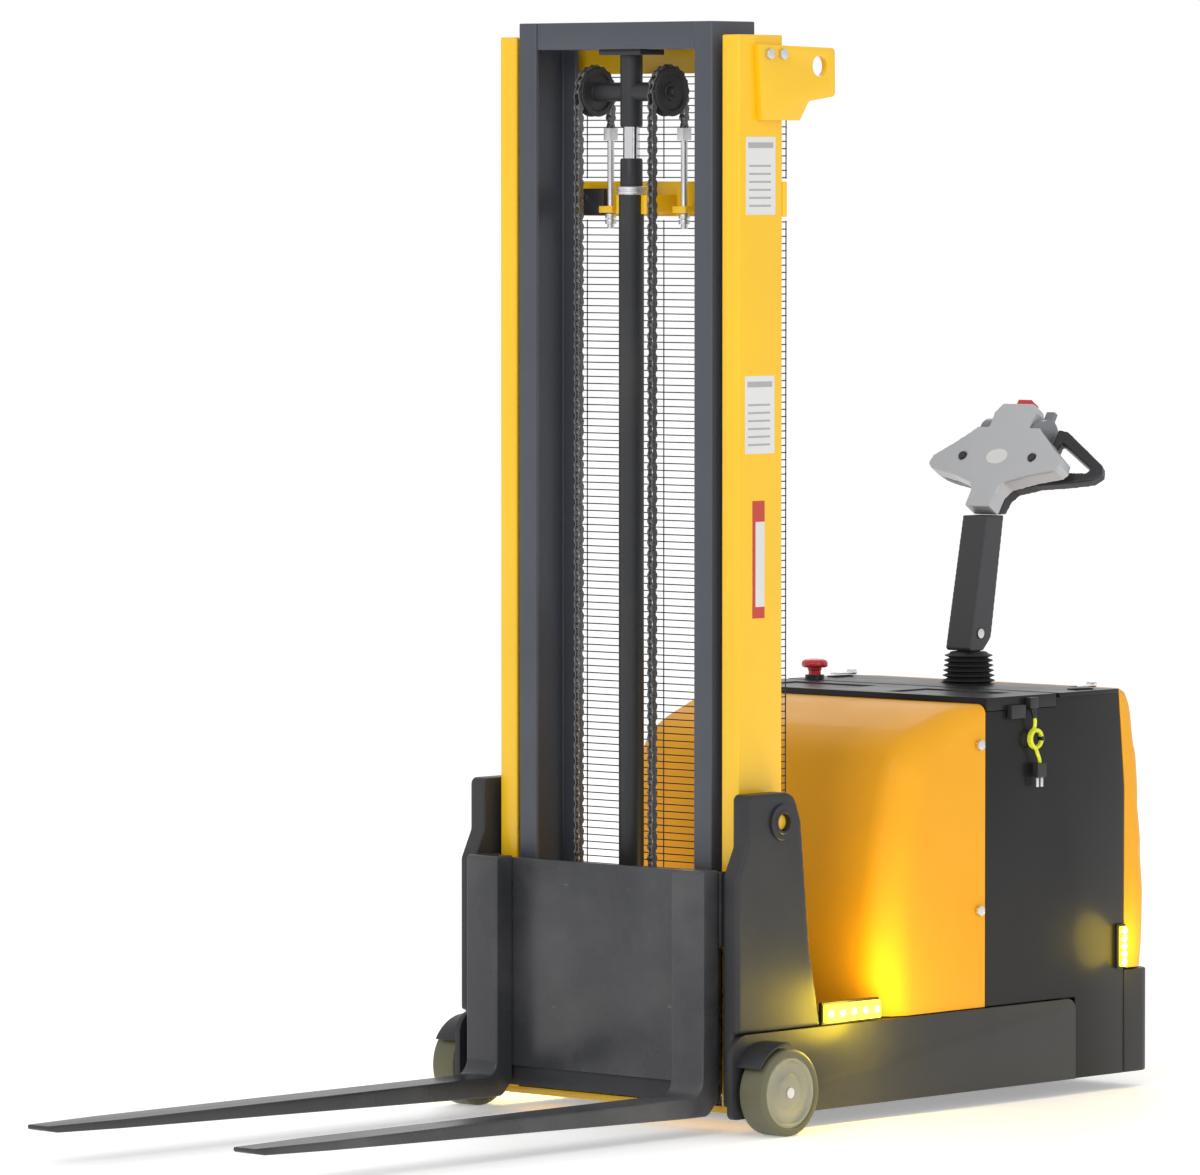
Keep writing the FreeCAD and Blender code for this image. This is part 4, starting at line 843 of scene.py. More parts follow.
class STACKER_OT_moving_mast(StackerOperator, bpy.types.Operator):
    """Moving mast, lift cylinder, ram, sheaves and rollers"""

    bl_idname = "stacker.moving_mast"
    bl_label = "Moving mast"

    def build(self, context):
        for node in ("inner_channel_left", "inner_channel_right"):
            dress(node, mast_grey(), 0.003, 3)
        dress("inner_crossbars", mast_grey(), 0.002)
        self.cylinder()
        self.ram()
        for name in ("left", "right"):
            self.sheave(name)
        dress("mast_rollers", hub_steel(), 0.003, 3)
        dress("chain_anchors", bright_steel(), 0.0012)

    def cylinder(self):
        low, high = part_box("lift_cylinder")
        centre = (0.0, (low[1] + high[1]) / 2, 0.0)
        gland_top, barrel_top = high[2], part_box("lift_cylinder")[1][2] - 0.064
        bm = bmesh.new()
        lathe(bm, [(0.0, low[2]), (0.0212, low[2]), (0.0225, low[2] + 0.002),
                   (0.0225, barrel_top - 0.001), (0.0, barrel_top)], "z", centre, 48)
        barrel = from_bmesh("barrel", bm, steel_black(), 40)
        bm = bmesh.new()
        lathe(bm, [(0.0160, barrel_top), (0.0255, barrel_top), (0.0265, barrel_top + 0.001),
                   (0.0265, barrel_top + 0.005), (0.0250, barrel_top + 0.006),
                   (0.0250, barrel_top + 0.008), (0.0265, barrel_top + 0.009),
                   (0.0265, barrel_top + 0.013), (0.0255, barrel_top + 0.014),
                   (0.0205, barrel_top + 0.0145), (0.0160, barrel_top + 0.0146),
                   (0.0160, barrel_top)], "z", centre, 48)
        collar = from_bmesh("collar", bm, bright_steel(), 40)
        bm = bmesh.new()
        lathe(bm, [(0.0155, barrel_top + 0.0146), (0.0200, barrel_top + 0.0146),
                   (0.0200, gland_top - 0.004), (0.0185, gland_top), (0.0155, gland_top),
                   (0.0155, barrel_top + 0.0146)], "z", centre, 48)
        gland = from_bmesh("gland", bm, steel_black(), 40)
        place_on(joined("lift_cylinder_finish", barrel, collar, gland), "chassis",
                 "satin_black", "lift_cylinder")

    def ram(self):
        """Chromed rod under a black head, with the sheave shaft across it."""
        low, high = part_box("ram")
        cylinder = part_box("lift_cylinder")
        centre = (0.0, (cylinder[0][1] + cylinder[1][1]) / 2, 0.0)
        head = high[2] - 0.137
        bm = bmesh.new()
        lathe(bm, [(0.0, low[2]), (0.0148, low[2]), (0.0150, low[2] + 0.001), (0.0150, head),
                   (0.0, head)], "z", centre, 48)
        rod = from_bmesh("rod", bm, chrome(), 40)
        bm = bmesh.new()
        lathe(bm, [(0.0, head), (0.0185, head), (0.0200, head + 0.002), (0.0200, high[2] - 0.010),
                   (0.0, high[2] - 0.010)], "z", centre, 48)
        add_block(bm, (-0.050, centre[1] - 0.032, high[2] - 0.010),
                  (0.050, centre[1] + 0.032, high[2]), 0.002)
        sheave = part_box("sheave_right")
        level = (sheave[0][2] + sheave[1][2]) / 2
        half = high[0]
        middle = (0.0, centre[1], level)
        lathe(bm, [(0.0, -half), (0.0080, -half), (0.0090, -half + 0.001),
                   (0.0090, -sheave[0][0] + 0.002), (0.0170, -sheave[0][0] + 0.002),
                   (0.0170, sheave[0][0] - 0.002), (0.0090, sheave[0][0] - 0.002),
                   (0.0090, half - 0.001), (0.0080, half), (0.0, half)], "x", middle, 40)
        cap = from_bmesh("head", bm, steel_black(), 35)
        place_on(joined("ram_finish", rod, cap), "inner_mast", "chrome", "ram")

    def sheave(self, name):
        low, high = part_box("sheave_" + name)
        centre = (low + high) / 2
        half = (high[0] - low[0]) / 2
        bm = bmesh.new()
        lathe(bm, [(0.0093, -half), (0.0160, -half), (0.0170, -half + 0.0030),
                   (0.0320, -half + 0.0034), (0.0350, -half), (0.0425, -half),
                   (0.0440, -half + 0.0010), (0.0440, -half + 0.0018), (0.0430, -half + 0.0028),
                   (0.0345, -half + 0.0045), (0.0340, 0.0), (0.0345, half - 0.0045),
                   (0.0430, half - 0.0028), (0.0440, half - 0.0018), (0.0440, half - 0.0010),
                   (0.0425, half), (0.0350, half), (0.0320, half - 0.0034),
                   (0.0170, half - 0.0030), (0.0160, half), (0.0093, half), (0.0093, -half)],
              "x", centre, 56)
        wheel = from_bmesh("sheave_finish_" + name, bm, steel_black(), 30)
        place_on(wheel, name + "_sheave", "zinc_steel", "sheave_" + name)


def add_link(bm, pitch, half_gap, plate, height):
    """Two flat chain plates between pins a pitch apart along Z."""
    for side in SIDES:
        near, far = sorted((side * half_gap, side * (half_gap + plate)))
        outline = []
        for middle, turn in ((0.0, 180.0), (pitch, 0.0)):
            for step in range(5):
                angle = math.radians(turn + 180.0 * step / 4)
                outline.append((height / 2 * math.cos(angle), middle + height / 2 *
                                math.sin(angle)))
            outline.append((outline[-1][0] * 0.62, pitch / 2))
        rings = [[bm.verts.new((x, y, z)) for y, z in outline] for x in (near, far)]
        bm.faces.new(rings[0])
        bm.faces.new(list(reversed(rings[1])))
        for index in range(len(outline)):
            following = (index + 1) % len(outline)
            bm.faces.new((rings[0][index], rings[1][index], rings[1][following],
                          rings[0][following]))


def add_double_link(bm, pitch, half_width, height):
    """One inner and one outer link with their rollers, the repeat of a roller chain."""
    add_link(bm, pitch, half_width - 0.0040, 0.0016, height)
    shifted = bmesh.new()
    add_link(shifted, pitch, half_width - 0.0022, 0.0016, height)
    for level in (0.0, pitch):
        add_rod(shifted, "x", height * 0.36, -half_width + 0.0040, half_width - 0.0040,
                (0.0, level - pitch), 10)
        add_rod(shifted, "x", height * 0.20, -half_width, half_width, (0.0, level - pitch), 8)
    bmesh.ops.translate(shifted, verts=shifted.verts, vec=(0.0, 0.0, pitch))
    mesh = bpy.data.meshes.new("shifted")
    shifted.to_mesh(mesh)
    shifted.free()
    bm.from_mesh(mesh)
    bpy.data.meshes.remove(mesh)


class STACKER_OT_chains(StackerOperator, bpy.types.Operator):
    """Roller chains over the sheaves, from the carriage to the anchors"""

    bl_idname = "stacker.chains"
    bl_label = "Lift chains"

    def build(self, context):
        pitch = sizes().chain_pitch
        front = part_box("lift_chains_front")
        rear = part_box("lift_chains_rear")
        half_width = 0.0070
        height = (front[1][1] - front[0][1]) * 0.93
        middle = front[1][0] - half_width
        front_reach = (front[0][1] + front[1][1]) / 2
        rear_reach = (rear[0][1] + rear[1][1]) / 2
        top = front[1][2]
        radius = (rear_reach - front_reach) / 2
        run = top - front[0][2]
        rear_run = rear[1][2] - rear[0][2]
        count = int(run / (2 * pitch))
        spacing = run / count
        straight, tops, tails = [], [], []
        for side in SIDES:
            item = item_from(add_double_link, spacing / 2, half_width, height)
            straight.append(row_of("strand", item, count,
                                   (side * middle, front_reach, front[0][2] + 0.004),
                                   (0.0, 0.0, (run - 0.012) / count),
                                   chain_steel()))
            bend = 2 * math.asin(pitch / 2 / radius)
            pieces = math.floor(math.pi / bend / 2) + 1
            step = math.pi / pieces
            item = item_from(self.bent_link, radius, step / 2, half_width, height)
            tops.append(ring_of("wrap", item, pieces, math.pi / 2 - step / 2, -step,
                                (side * middle, front_reach + radius, top), chain_steel()))
            links = max(1, round(rear_run / (2 * pitch)))
            item = item_from(add_double_link, rear_run / links / 2, half_width, height)
            tops.append(row_of("rear_strand", item, links,
                               (side * middle, rear_reach, rear[0][2] + 0.002),
                               (0.0, 0.0, rear_run / links), chain_steel()))
            tails.append(self.folded_strand(side * middle, rear_reach, rear[0][2], pitch,
                                            half_width, height))
        strands = joined("front_chain_strands", *straight)
        place_on(strands, "inner_mast", "chain_steel", "lift_chains_front")
        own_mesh(strands)
        place_on(joined("chain_wraps", *tops), "inner_mast", "chain_steel", "lift_chains_rear")
        folded = joined("rear_chain_strands", *tails)
        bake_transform(folded)

    def travel(self, name):
        joint = next(joint for joint in frame["joints"] if joint["name"] == name)
        return joint["range_m"][1]

    def bent_link(self, bm, radius, half_step, half_width, height):
        """A double link lying on the sheave, its middle pin at the top."""
        flat = bmesh.new()
        chord = 2 * radius * math.sin(half_step / 2)
        add_double_link(flat, chord, half_width, height)
        bmesh.ops.translate(flat, verts=flat.verts, vec=(0.0, 0.0, -chord))
        for vert in flat.verts:
            x, y, z = vert.co
            turn = half_step / 2 if z > 0 else -half_step / 2
            along, out = z, y
            vert.co = (x, along * math.cos(turn) + out * math.sin(turn),
                       radius - abs(along) * math.sin(half_step / 2) + out * math.cos(turn))
        mesh = bpy.data.meshes.new("bent")
        flat.to_mesh(mesh)
        flat.free()
        bm.from_mesh(mesh)
        bpy.data.meshes.remove(mesh)

    def folded_strand(self, x, y, fold_top, pitch, half_width, height):
        """The hidden length of a strand, folded up in its clevis, long enough for the mast's full rise."""
        travel = self.travel("mast_lift")
        self.fold_bottom = fold_top - FOLD_REST
        full = travel + FOLD_REST
        count = round(full / (2 * pitch))
        item = item_from(add_double_link, full / count / 2, half_width - 0.0004, height)
        obj = row_of("folded", item, count, (x, y, 0.0), (0.0, 0.0, full / count), chain_steel())
        for vert in obj.data.vertices:
            target = min(max(vert.co.z, 0.0), full)
            low, high = 0.0, 1.0
            for _ in range(40):
                t = (low + high) / 2
                if FOLD_REST * t + travel * t * t * (3 - 2 * t) < target:
                    low = t
                else:
                    high = t
            vert.co.z = self.fold_bottom + FOLD_REST * low
        return obj


class STACKER_OT_carriage(StackerOperator, bpy.types.Operator):
    """Fork carriage, forks and their rollers"""

    bl_idname = "stacker.carriage"
    bl_label = "Carriage and forks"

    def build(self, context):
        dress("carriage_plate", carriage_black_wear_and_painted_sheen(), 0.0022)
        dress("carriage_frame", steel_black(), 0.002)
        for name in ("left", "right"):
            dress("fork_" + name, carriage_black_wear_and_painted_sheen(), 0.0045, 3)
        for level in ("lower", "upper"):
            dress("carriage_rollers_" + level, hub_steel(), 0.003, 3)


class STACKER_OT_wheels(StackerOperator, bpy.types.Operator):
    """Front load wheels, their axles and the drive wheel"""

    bl_idname = "stacker.wheels"
    bl_label = "Wheels"

    def build(self, context):
        for side, name in zip(SIDES, ("left", "right")):
            self.front_wheel(side, name)
        dress("front_axles", bright_steel(), 0.0015)
        self.drive_wheel()

    def front_wheel(self, side, name):
        low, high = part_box("front_wheel_" + name)
        centre = (low + high) / 2
        half = (high[0] - low[0]) / 2
        out = side
        bm = bmesh.new()
        profile = [(0.0625, -half + 0.002), (0.0700, -half), (0.0735, -half + 0.0010),
                   (0.0762, -half + 0.0035), (0.0770, -half + 0.0075), (0.0770, half - 0.0075),
                   (0.0762, half - 0.0035), (0.0735, half - 0.0010), (0.0700, half),
                   (0.0650, half - 0.0004), (0.0625, half - 0.0025), (0.0625, -half + 0.002)]
        lathe(bm, profile, "x", centre, 80)
        tread = from_bmesh("tread", bm, tread_grey(), 30)
        bm = bmesh.new()
        dish = [(0.0128, -half + 0.002), (0.0620, -half + 0.002), (0.0626, half - 0.0028),
                (0.0605, half - 0.0016), (0.0570, half - 0.0020), (0.0552, half - 0.0040),
                (0.0540, half - 0.0060), (0.0500, half - 0.0066), (0.0340, half - 0.0060),
                (0.0318, half - 0.0050), (0.0300, half - 0.0032), (0.0280, half - 0.0028),
                (0.0205, half - 0.0026), (0.0120, half - 0.0026), (0.0, half - 0.0028)]
        turned = [(radius, out * along) for radius, along in dish]
        turned.append((0.0, out * (half - 0.014)))
        turned.append((0.0128, out * (half - 0.016)))
        turned.append((0.0128, out * (-half + 0.002)))
        lathe(bm, turned, "x", centre, 80)
        hub = from_bmesh("hub", bm, hub_steel(), 28)
        bm = bmesh.new()
        start, end = sorted((out * (half - 0.0034), out * (half - 0.0006)))
        add_rod(bm, "x", 0.0095, start, end, (0.0, 0.0), 24)
        bmesh.ops.translate(bm, verts=bm.verts, vec=centre)
        cap = from_bmesh("hub_cap", bm, bright_steel(), 30)
        place_on(joined("front_wheel_finish_" + name, tread, hub, cap),
                 name + "_front_wheel", "polyurethane", "front_wheel_" + name)

    def hub_bolt(self, bm, face, out, radius):
        start, end = sorted((face - out * 0.001, face + out * 0.0042))
        add_rod(bm, "x", 0.0052, start, end, (0.0, radius), 6)
        start, end = sorted((face - out * 0.001, face + out * 0.0014))
        add_rod(bm, "x", 0.0075, start, end, (0.0, radius), 16)

    def drive_wheel(self):
        low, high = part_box("drive_wheel")
        centre = (low + high) / 2
        half = (high[0] - low[0]) / 2
        bm = bmesh.new()
        lathe(bm, [(0.0800, -half), (0.0980, -half), (0.1030, -half + 0.002),
                   (0.1050, -half + 0.008), (0.1050, half - 0.008), (0.1030, half - 0.002),
                   (0.0980, half), (0.0800, half), (0.0800, -half)], "x", centre, 80)
        tread = from_bmesh("drive_tread", bm, tread_grey(), 30)
        bm = bmesh.new()
        lathe(bm, [(0.0142, -half + 0.006), (0.0600, -half + 0.006), (0.0640, -half + 0.001),
                   (0.0798, -half + 0.001), (0.0798, half - 0.001), (0.0640, half - 0.001),
                   (0.0600, half - 0.006), (0.0142, half - 0.006), (0.0142, -half + 0.006)],
              "x", centre, 80)
        hub = from_bmesh("drive_hub", bm, hub_steel(), 28)
        item = item_from(self.hub_bolt, -half + 0.006, -1, 0.040)
        bolts = ring_of("drive_bolts", item, 5, 0.0, 2 * math.pi / 5, centre, bright_steel())
        place_on(joined("drive_wheel_finish", tread, hub, bolts), "traction_wheel",
                 "polyurethane", "drive_wheel")


class STACKER_OT_chassis(StackerOperator, bpy.types.Operator):
    """Chassis skirts, mast arms, floor tray, bumper and the machinery inside"""

    bl_idname = "stacker.chassis"
    bl_label = "Chassis"

    def build(self, context):
        dress("chassis_skirts", steel_black(), 0.0025)
        softened("mast_arms", steel_black(), 0.0032, 6)
        self.trunnion_bosses()
        dress("chassis_tray", steel_black(), 0.0015)
        dress("rear_bumper", steel_black(), 0.0040, 3)
        for node, material in (("battery_pack", black_plastic()),
                               ("hydraulic_power_unit", steel_black()),
                               ("charger_and_controller", arm_plastic()),
                               ("counterweight", steel_black()),
                               ("slewing_ring", bright_steel()),
                               ("drive_unit", steel_black())):
            repaint(node, material)

    def trunnion_bosses(self):
        """Round boss on the outside of each mast arm, round the mast's pin."""
        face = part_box("mast_arms")[1][0]
        centre = Vector((0.0, reach(0.072), 0.547))
        bm = bmesh.new()
        for side in SIDES:
            profile = [(0.0160, -0.002), (0.0320, -0.002), (0.0320, 0.0040), (0.0308, 0.0052),
                       (0.0215, 0.0052), (0.0200, 0.0070), (0.0172, 0.0070), (0.0160, 0.0060),
                       (0.0160, -0.002)]
            lathe(bm, [(radius, side * (face + along)) for radius, along in profile], "x",
                  centre, 48)
        place_on(from_bmesh("trunnion_bosses", bm, steel_black(), 30), "chassis", "satin_black")


def smooth_curve(points, count):
    """Evenly spaced places along a curve through the points, by arc length."""
    dense = []
    padded = [points[0], *points, points[-1]]
    for before, start, end, after in zip(padded, padded[1:], padded[2:], padded[3:]):
        for step in range(16):
            t = step / 16
            dense.append(tuple(0.5 * (2 * b + (c - a) * t + (2 * a - 5 * b + 4 * c - d) * t * t +
                                      (3 * b - a - 3 * c + d) * t ** 3)
                               for a, b, c, d in zip(before, start, end, after)))
    dense.append(points[-1])
    lengths = [0.0]
    for first, second in zip(dense, dense[1:]):
        lengths.append(lengths[-1] + math.dist(first, second))
    even = []
    index = 0
    for step in range(count + 1):
        target = lengths[-1] * step / count
        while index < len(dense) - 2 and lengths[index + 1] < target:
            index += 1
        share = (target - lengths[index]) / max(lengths[index + 1] - lengths[index], 1e-9)
        even.append(tuple(a + (b - a) * share for a, b in zip(dense[index], dense[index + 1])))
    return even


def grid_faces(bm, rows):
    """Skin rows of vertices with quads."""
    for lower, upper in zip(rows, rows[1:]):
        for index in range(len(lower) - 1):
            bm.faces.new((lower[index], lower[index + 1], upper[index + 1], upper[index]))


class STACKER_OT_bodywork(StackerOperator, bpy.types.Operator):
    """Moulded covers, battery lid, rear deck, side panels and their fittings"""

    bl_idname = "stacker.bodywork"
    bl_label = "Bodywork"

    def build(self, context):
        self.bonnet()
        self.rear_cover()
        dress("battery_lid", panel_black(), 0.0035, 3)
        dress("rear_deck", panel_black(), 0.002)
        for name in ("left", "right"):
            dress("side_panel_" + name, panel_black(), 0.0012)
            dress("latch_" + name, chrome(), 0.0012)
        dress("hex_screws", bright_steel(), 0.0008)
        self.stop_button()
        self.strobes()

    def shell(self, name, bm, wall):
        """Give a skin its thickness inwards."""
        bmesh.ops.remove_doubles(bm, verts=bm.verts, dist=1e-6)
        bmesh.ops.recalc_face_normals(bm, faces=bm.faces)
        mesh = bpy.data.meshes.new(name)
        bm.to_mesh(mesh)
        bm.free()
        obj = new_object(name, mesh)
        solid = obj.modifiers.new("Wall", "SOLIDIFY")
        solid.thickness = wall
        solid.offset = -1.0
        bake(obj)
        smooth_by_angle(obj.data, 38)
        obj.data.materials.clear()
        obj.data.materials.append(cover_yellow())
        return obj

    def bonnet(self):
        low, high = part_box("front_bonnet")
        front, rear, bottom, top = low[1], high[1], low[2], high[2]
        half = high[0]
        profile = [(front, bottom), (front + 0.004, 0.335), (front + 0.014, 0.440),
                   (front + 0.030, 0.545), (front + 0.054, 0.640), (front + 0.096, 0.681),
                   (front + 0.160, top - 0.022), (front + 0.222, top - 0.004), (rear, top)]
        line = smooth_curve(profile, 64)
        bm = bmesh.new()
        rows = []
        for index, (y, z) in enumerate(line):
            ahead = line[min(index + 12, len(line) - 1)]
            behind = line[max(index - 12, 0)]
            along = Vector((ahead[0] - behind[0], ahead[1] - behind[1])).normalized()
            inward = Vector((along.y, -along.x))
            share = index / (len(line) - 1)
            corner = sizes().bonnet_corner * (1 - share) ** 0.5 + 0.018 * share
            if index == 0:
                inward = Vector((1.0, 0.0))
            if index == len(line) - 1:
                inward = Vector((0.0, -1.0))
            row = []
            for side in SIDES:
                arc = []
                for step in range(9):
                    turn = math.pi / 2 * step / 8
                    depth = corner * (1 - math.sin(turn))
                    across = side * (half - corner * (1 - math.cos(turn)))
                    arc.append((across, y + inward.x * depth, z + inward.y * depth))
                if side < 0:
                    row += arc
                    flat = half - corner
                    row += [(-flat + 2 * flat * step / 12, y, z) for step in range(1, 12)]
                else:
                    row += reversed(arc)
            rows.append([bm.verts.new(point) for point in row])
        grid_faces(bm, rows)
        for column in (0, -1):
            side = -half if column == 0 else half
            edge = [row[column] for row in rows]
            corners = [bm.verts.new((side, rear, bottom))]
            bm.faces.new(edge + corners)
        bmesh.ops.triangulate(bm, faces=[face for face in bm.faces if len(face.verts) > 4])
        obj = self.shell("front_bonnet_finish", bm, sizes().cover_wall)
        place_on(obj, "chassis", "cover_yellow", "front_bonnet")

    def rear_cover(self):
        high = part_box("rear_cover")[1]
        top, half = high[2], high[0]
        deck = reach(1.0135)
        profile = [(reach(1.102), 0.224), (reach(1.108), 0.280), (reach(1.110), 0.340),
                   (reach(1.110), 0.370), (reach(1.104), 0.430), (reach(1.104), 0.460),
                   (reach(1.096), 0.520), (reach(1.096), 0.545), (reach(1.090), 0.612),
                   (reach(1.082), 0.640), (reach(1.072), 0.700), (reach(1.060), 0.727),
                   (reach(1.054), top)]
        line = smooth_curve(profile, 72)
        rounding = 0.010
        bm = bmesh.new()
        rows = []
        for y, z in line:
            drop = max(0.0, z - (top - rounding)) / rounding
            inset = rounding * (1 - math.sqrt(max(0.0, 1 - drop * drop)))
            corner = 0.044
            front = reach(1.030) if z < 0.560 else None
            if front is None:
                share = min(1.0, (z - 0.560) / (top - 0.012 - 0.560))
                front = reach(1.030) + (deck - reach(1.030)) * share
            outline = []
            for side in SIDES:
                x = side * (half - inset)
                part = [(x, front + (y - corner - front) * step / 3) for step in range(3)]
                for step in range(9):
                    turn = math.pi / 2 * step / 8
                    part.append((side * (half - inset - corner * (1 - math.cos(turn))),
                                 y - corner + corner * math.sin(turn)))
                if side < 0:
                    outline += part
                    flat = half - inset - corner
                    outline += [(-flat + 2 * flat * step / 14, y) for step in range(1, 14)]
                else:
                    outline += reversed(part)
            rows.append([bm.verts.new((x, spot, z)) for x, spot in outline])
        grid_faces(bm, rows)
        lid_edge = [bm.verts.new((vert.co.x, deck, top)) for vert in rows[-1]]
        grid_faces(bm, [rows[-1], lid_edge])
        obj = self.shell("rear_cover_finish", bm, sizes().cover_wall)
        place_on(obj, "chassis", "cover_yellow", "rear_cover")

    def stop_button(self):
        low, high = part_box("estop_button")
        centre = Vector(((low[0] + high[0]) / 2, (low[1] + high[1]) / 2, 0.0))
        cap = high[2] - 0.016
        bm = bmesh.new()
        lathe(bm, [(0.0, cap), (0.0215, cap), (0.0240, cap + 0.0015), (0.0250, cap + 0.0045),
                   (0.0246, cap + 0.0090), (0.0225, cap + 0.0125), (0.0180, cap + 0.0148),
                   (0.0100, high[2] - 0.0003), (0.0, high[2])], "z", centre, 56)
        button = from_bmesh("stop_cap", bm, button_red(), 40)
        bm = bmesh.new()
        lathe(bm, [(0.0, low[2]), (0.0118, low[2]), (0.0118, cap - 0.006), (0.0135, cap - 0.004),
                   (0.0135, cap), (0.0, cap)], "z", centre, 40)
        stem = from_bmesh("stop_stem", bm, button_red(), 40)
        place_on(joined("stop_button_finish", button, stem), "emergency_stop", "red_plastic",
                 "estop_button")

    def strobes(self):
        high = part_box("strobe_lights")[1]
        spots = []
        for side in SIDES:
            outer = side * high[0]
            spots.append((side * (high[0] - 0.018), outer, reach(0.180), reach(0.335), 0.180,
                          0.220, "y"))
            spots.append((side * (high[0] - 0.014), outer, reach(1.004), reach(1.028), 0.224,
                          0.306, "z"))
        pieces = []
        for inner, outer, near, far, bottom, top, along in spots:
            side = 1 if outer > 0 else -1
            bm = bmesh.new()
            mount = inner + (outer - inner) * 0.45
            first, second = sorted((inner, mount))
            add_block(bm, (first, near, bottom), (second, far, top), 0.002)
            pieces.append(from_bmesh("lamp_base", bm, black_plastic()))
            bm = bmesh.new()
            first, second = sorted((mount - side * 0.001, outer - side * 0.0006))
            add_block(bm, (first, near + 0.004, bottom + 0.004), (second, far - 0.004, top - 0.004),
                      0.003, 3)
            pieces.append(from_bmesh("lamp_lens", bm, lamp_amber()))
            item = item_from(self.diode, outer, side)
            count = 5
            middle = ((near + far) / 2, (bottom + top) / 2)
            if along == "y":
                step = (0.0, (far - near - 0.030) / (count - 1), 0.0)
                first_spot = (0.0, near + 0.015, middle[1])
            else:
                step = (0.0, 0.0, (top - bottom - 0.024) / (count - 1))
                first_spot = (0.0, middle[0], bottom + 0.012)
            pieces.append(row_of("diodes", item, count, first_spot, step, lamp_hot()))
        place_on(joined("strobe_lights_finish", *pieces), "chassis", "amber_lens",
                 "strobe_lights")
        for inner, outer, near, far, bottom, top, along in spots:
            glow = bpy.data.lights.new("lamp_glow", "POINT")
            glow.energy = 3.4 if along == "y" else 0.7
            glow.color = (1.0, 0.72, 0.02)
            glow.shadow_soft_size = 0.06
            lamp = bpy.data.objects.new("lamp_glow", glow)
            lamp.location = (outer * 1.12, (near + far) / 2, (bottom + top) / 2)
            bpy.context.scene.collection.objects.link(lamp)

    def diode(self, bm, outer, side):
        profile = [(0.0, -0.004), (0.0075, -0.004), (0.0075, -0.0012), (0.0050, -0.0002),
                   (0.0, 0.0)]
        lathe(bm, [(radius, side * along) for radius, along in profile], "x",
              (outer - side * 0.0001, 0.0, 0.0), 14)


class STACKER_OT_tiller(StackerOperator, bpy.types.Operator):
    """Bellows, tiller arm and control head with its controls"""

    bl_idname = "stacker.tiller"
    bl_label = "Tiller"

    lean = math.radians(33)

    def spot(self, across, along, out):
        """A place on the head: across, up along its lean, and out of its face."""
        return Vector((across,
                       reach(1.016) + along * math.sin(self.lean) - out * math.cos(self.lean),
                       1.051 + along * math.cos(self.lean) + out * math.sin(self.lean)))

    def build(self, context):
        self.boot()
        softened("tiller_arm", arm_plastic(), 0.0022, 5)
        softened("head_shell", head_silver(), 0.0024, 7)
        softened("head_rear_shell", black_plastic(), 0.0024, 7)
        softened("throttle", throttle_grey(), 0.0016, 5)
        softened("belly_button", button_red(), 0.0012, 5)
        for name, side in (("horn_button", -1), ("lift_button", 1)):
            self.push_button(name, side)
        self.badge()
        self.pin_end()

    def boot(self):
        low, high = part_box("tiller_boot")
        centre = Vector(((low[0] + high[0]) / 2, (low[1] + high[1]) / 2, 0.0))
        bottom, top = low[2], high[2]
        count = 6
        pitch = (top - bottom - 0.008) / count
        profile = [(0.0300, bottom), (0.0490, bottom), (0.0500, bottom + 0.003)]
        for turn in range(count):
            level = bottom + 0.004 + pitch * turn
            width = 0.0497 - 0.0009 * turn
            profile += [(width - 0.0085, level + pitch * 0.10), (width - 0.0090, level +
                        pitch * 0.22), (width - 0.0018, level + pitch * 0.50),
                        (width, level + pitch * 0.62), (width - 0.0018, level + pitch * 0.76),
                        (width - 0.0085, level + pitch * 0.98)]
        profile += [(0.0340, top - 0.001), (0.0300, top), (0.0300, bottom)]
        bm = bmesh.new()
        lathe(bm, profile, "z", centre, 64)
        boot = from_bmesh("tiller_boot_finish", bm, rubber(), 50)
        place_on(boot, "chassis", "rubber", "tiller_boot")

    def oriented(self, bm):
        """Turn a form made about +Z so that it stands out of the leaning face."""
        turn = Matrix.Rotation(math.radians(90) - self.lean, 4, "X")
        bmesh.ops.transform(bm, matrix=turn, verts=bm.verts)

    def push_button(self, name, side):
        bm = bmesh.new()
        lathe(bm, [(0.0, 0.016), (0.0080, 0.016), (0.0080, 0.0272), (0.0072, 0.0284),
                   (0.0058, 0.0286), (0.0035, 0.0280), (0.0, 0.0277)], "z", (0, 0, 0), 36)
        self.oriented(bm)
        bmesh.ops.translate(bm, verts=bm.verts, vec=self.spot(side * 0.084, 0.112, 0.0))
        button = from_bmesh(name + "_finish", bm, black_plastic(), 34)
        place_on(button, BODY_OF[name], SLOT_OF[name], name)

    def badge(self):
        """Blank oval plate on the neck of the silver shell."""
        bm = bmesh.new()
        rings = []
        for scale, level in ((1.0, 0.0252), (1.0, 0.0263), (0.94, 0.0266), (0.90, 0.0263)):
            rings.append([bm.verts.new((0.025 * scale * math.cos(step * math.pi / 24),
                                        0.016 * scale * math.sin(step * math.pi / 24), level))
                          for step in range(48)])
        for lower, upper in zip(rings, rings[1:]):
            for step in range(48):
                following = (step + 1) % 48
                bm.faces.new((lower[step], lower[following], upper[following], upper[step]))
        bm.faces.new(rings[-1])
        bm.faces.new(list(reversed(rings[0])))
        self.oriented(bm)
        bmesh.ops.translate(bm, verts=bm.verts, vec=self.spot(0.0, 0.112, 0.0))
        plate = from_bmesh("head_badge", bm, label_white(), 30)
        place_on(plate, "tiller", "silver_plastic")

    def pin_end(self):
        """Bright cap over the end of the pivot pin, both sides of the arm."""
        centre = Vector((0.0, reach(0.975), 0.832))
        bm = bmesh.new()
        for side in SIDES:
            face = side * 0.0290
            profile = [(0.0, -0.001), (0.0090, -0.001), (0.0090, 0.0016), (0.0074, 0.0022),
                       (0.0, 0.0022)]
            lathe(bm, [(radius, face + side * along) for radius, along in profile], "x", centre,
                  32)
        caps = from_bmesh("pin_caps", bm, bright_steel(), 30)
        place_on(caps, "tiller", "zinc_steel")


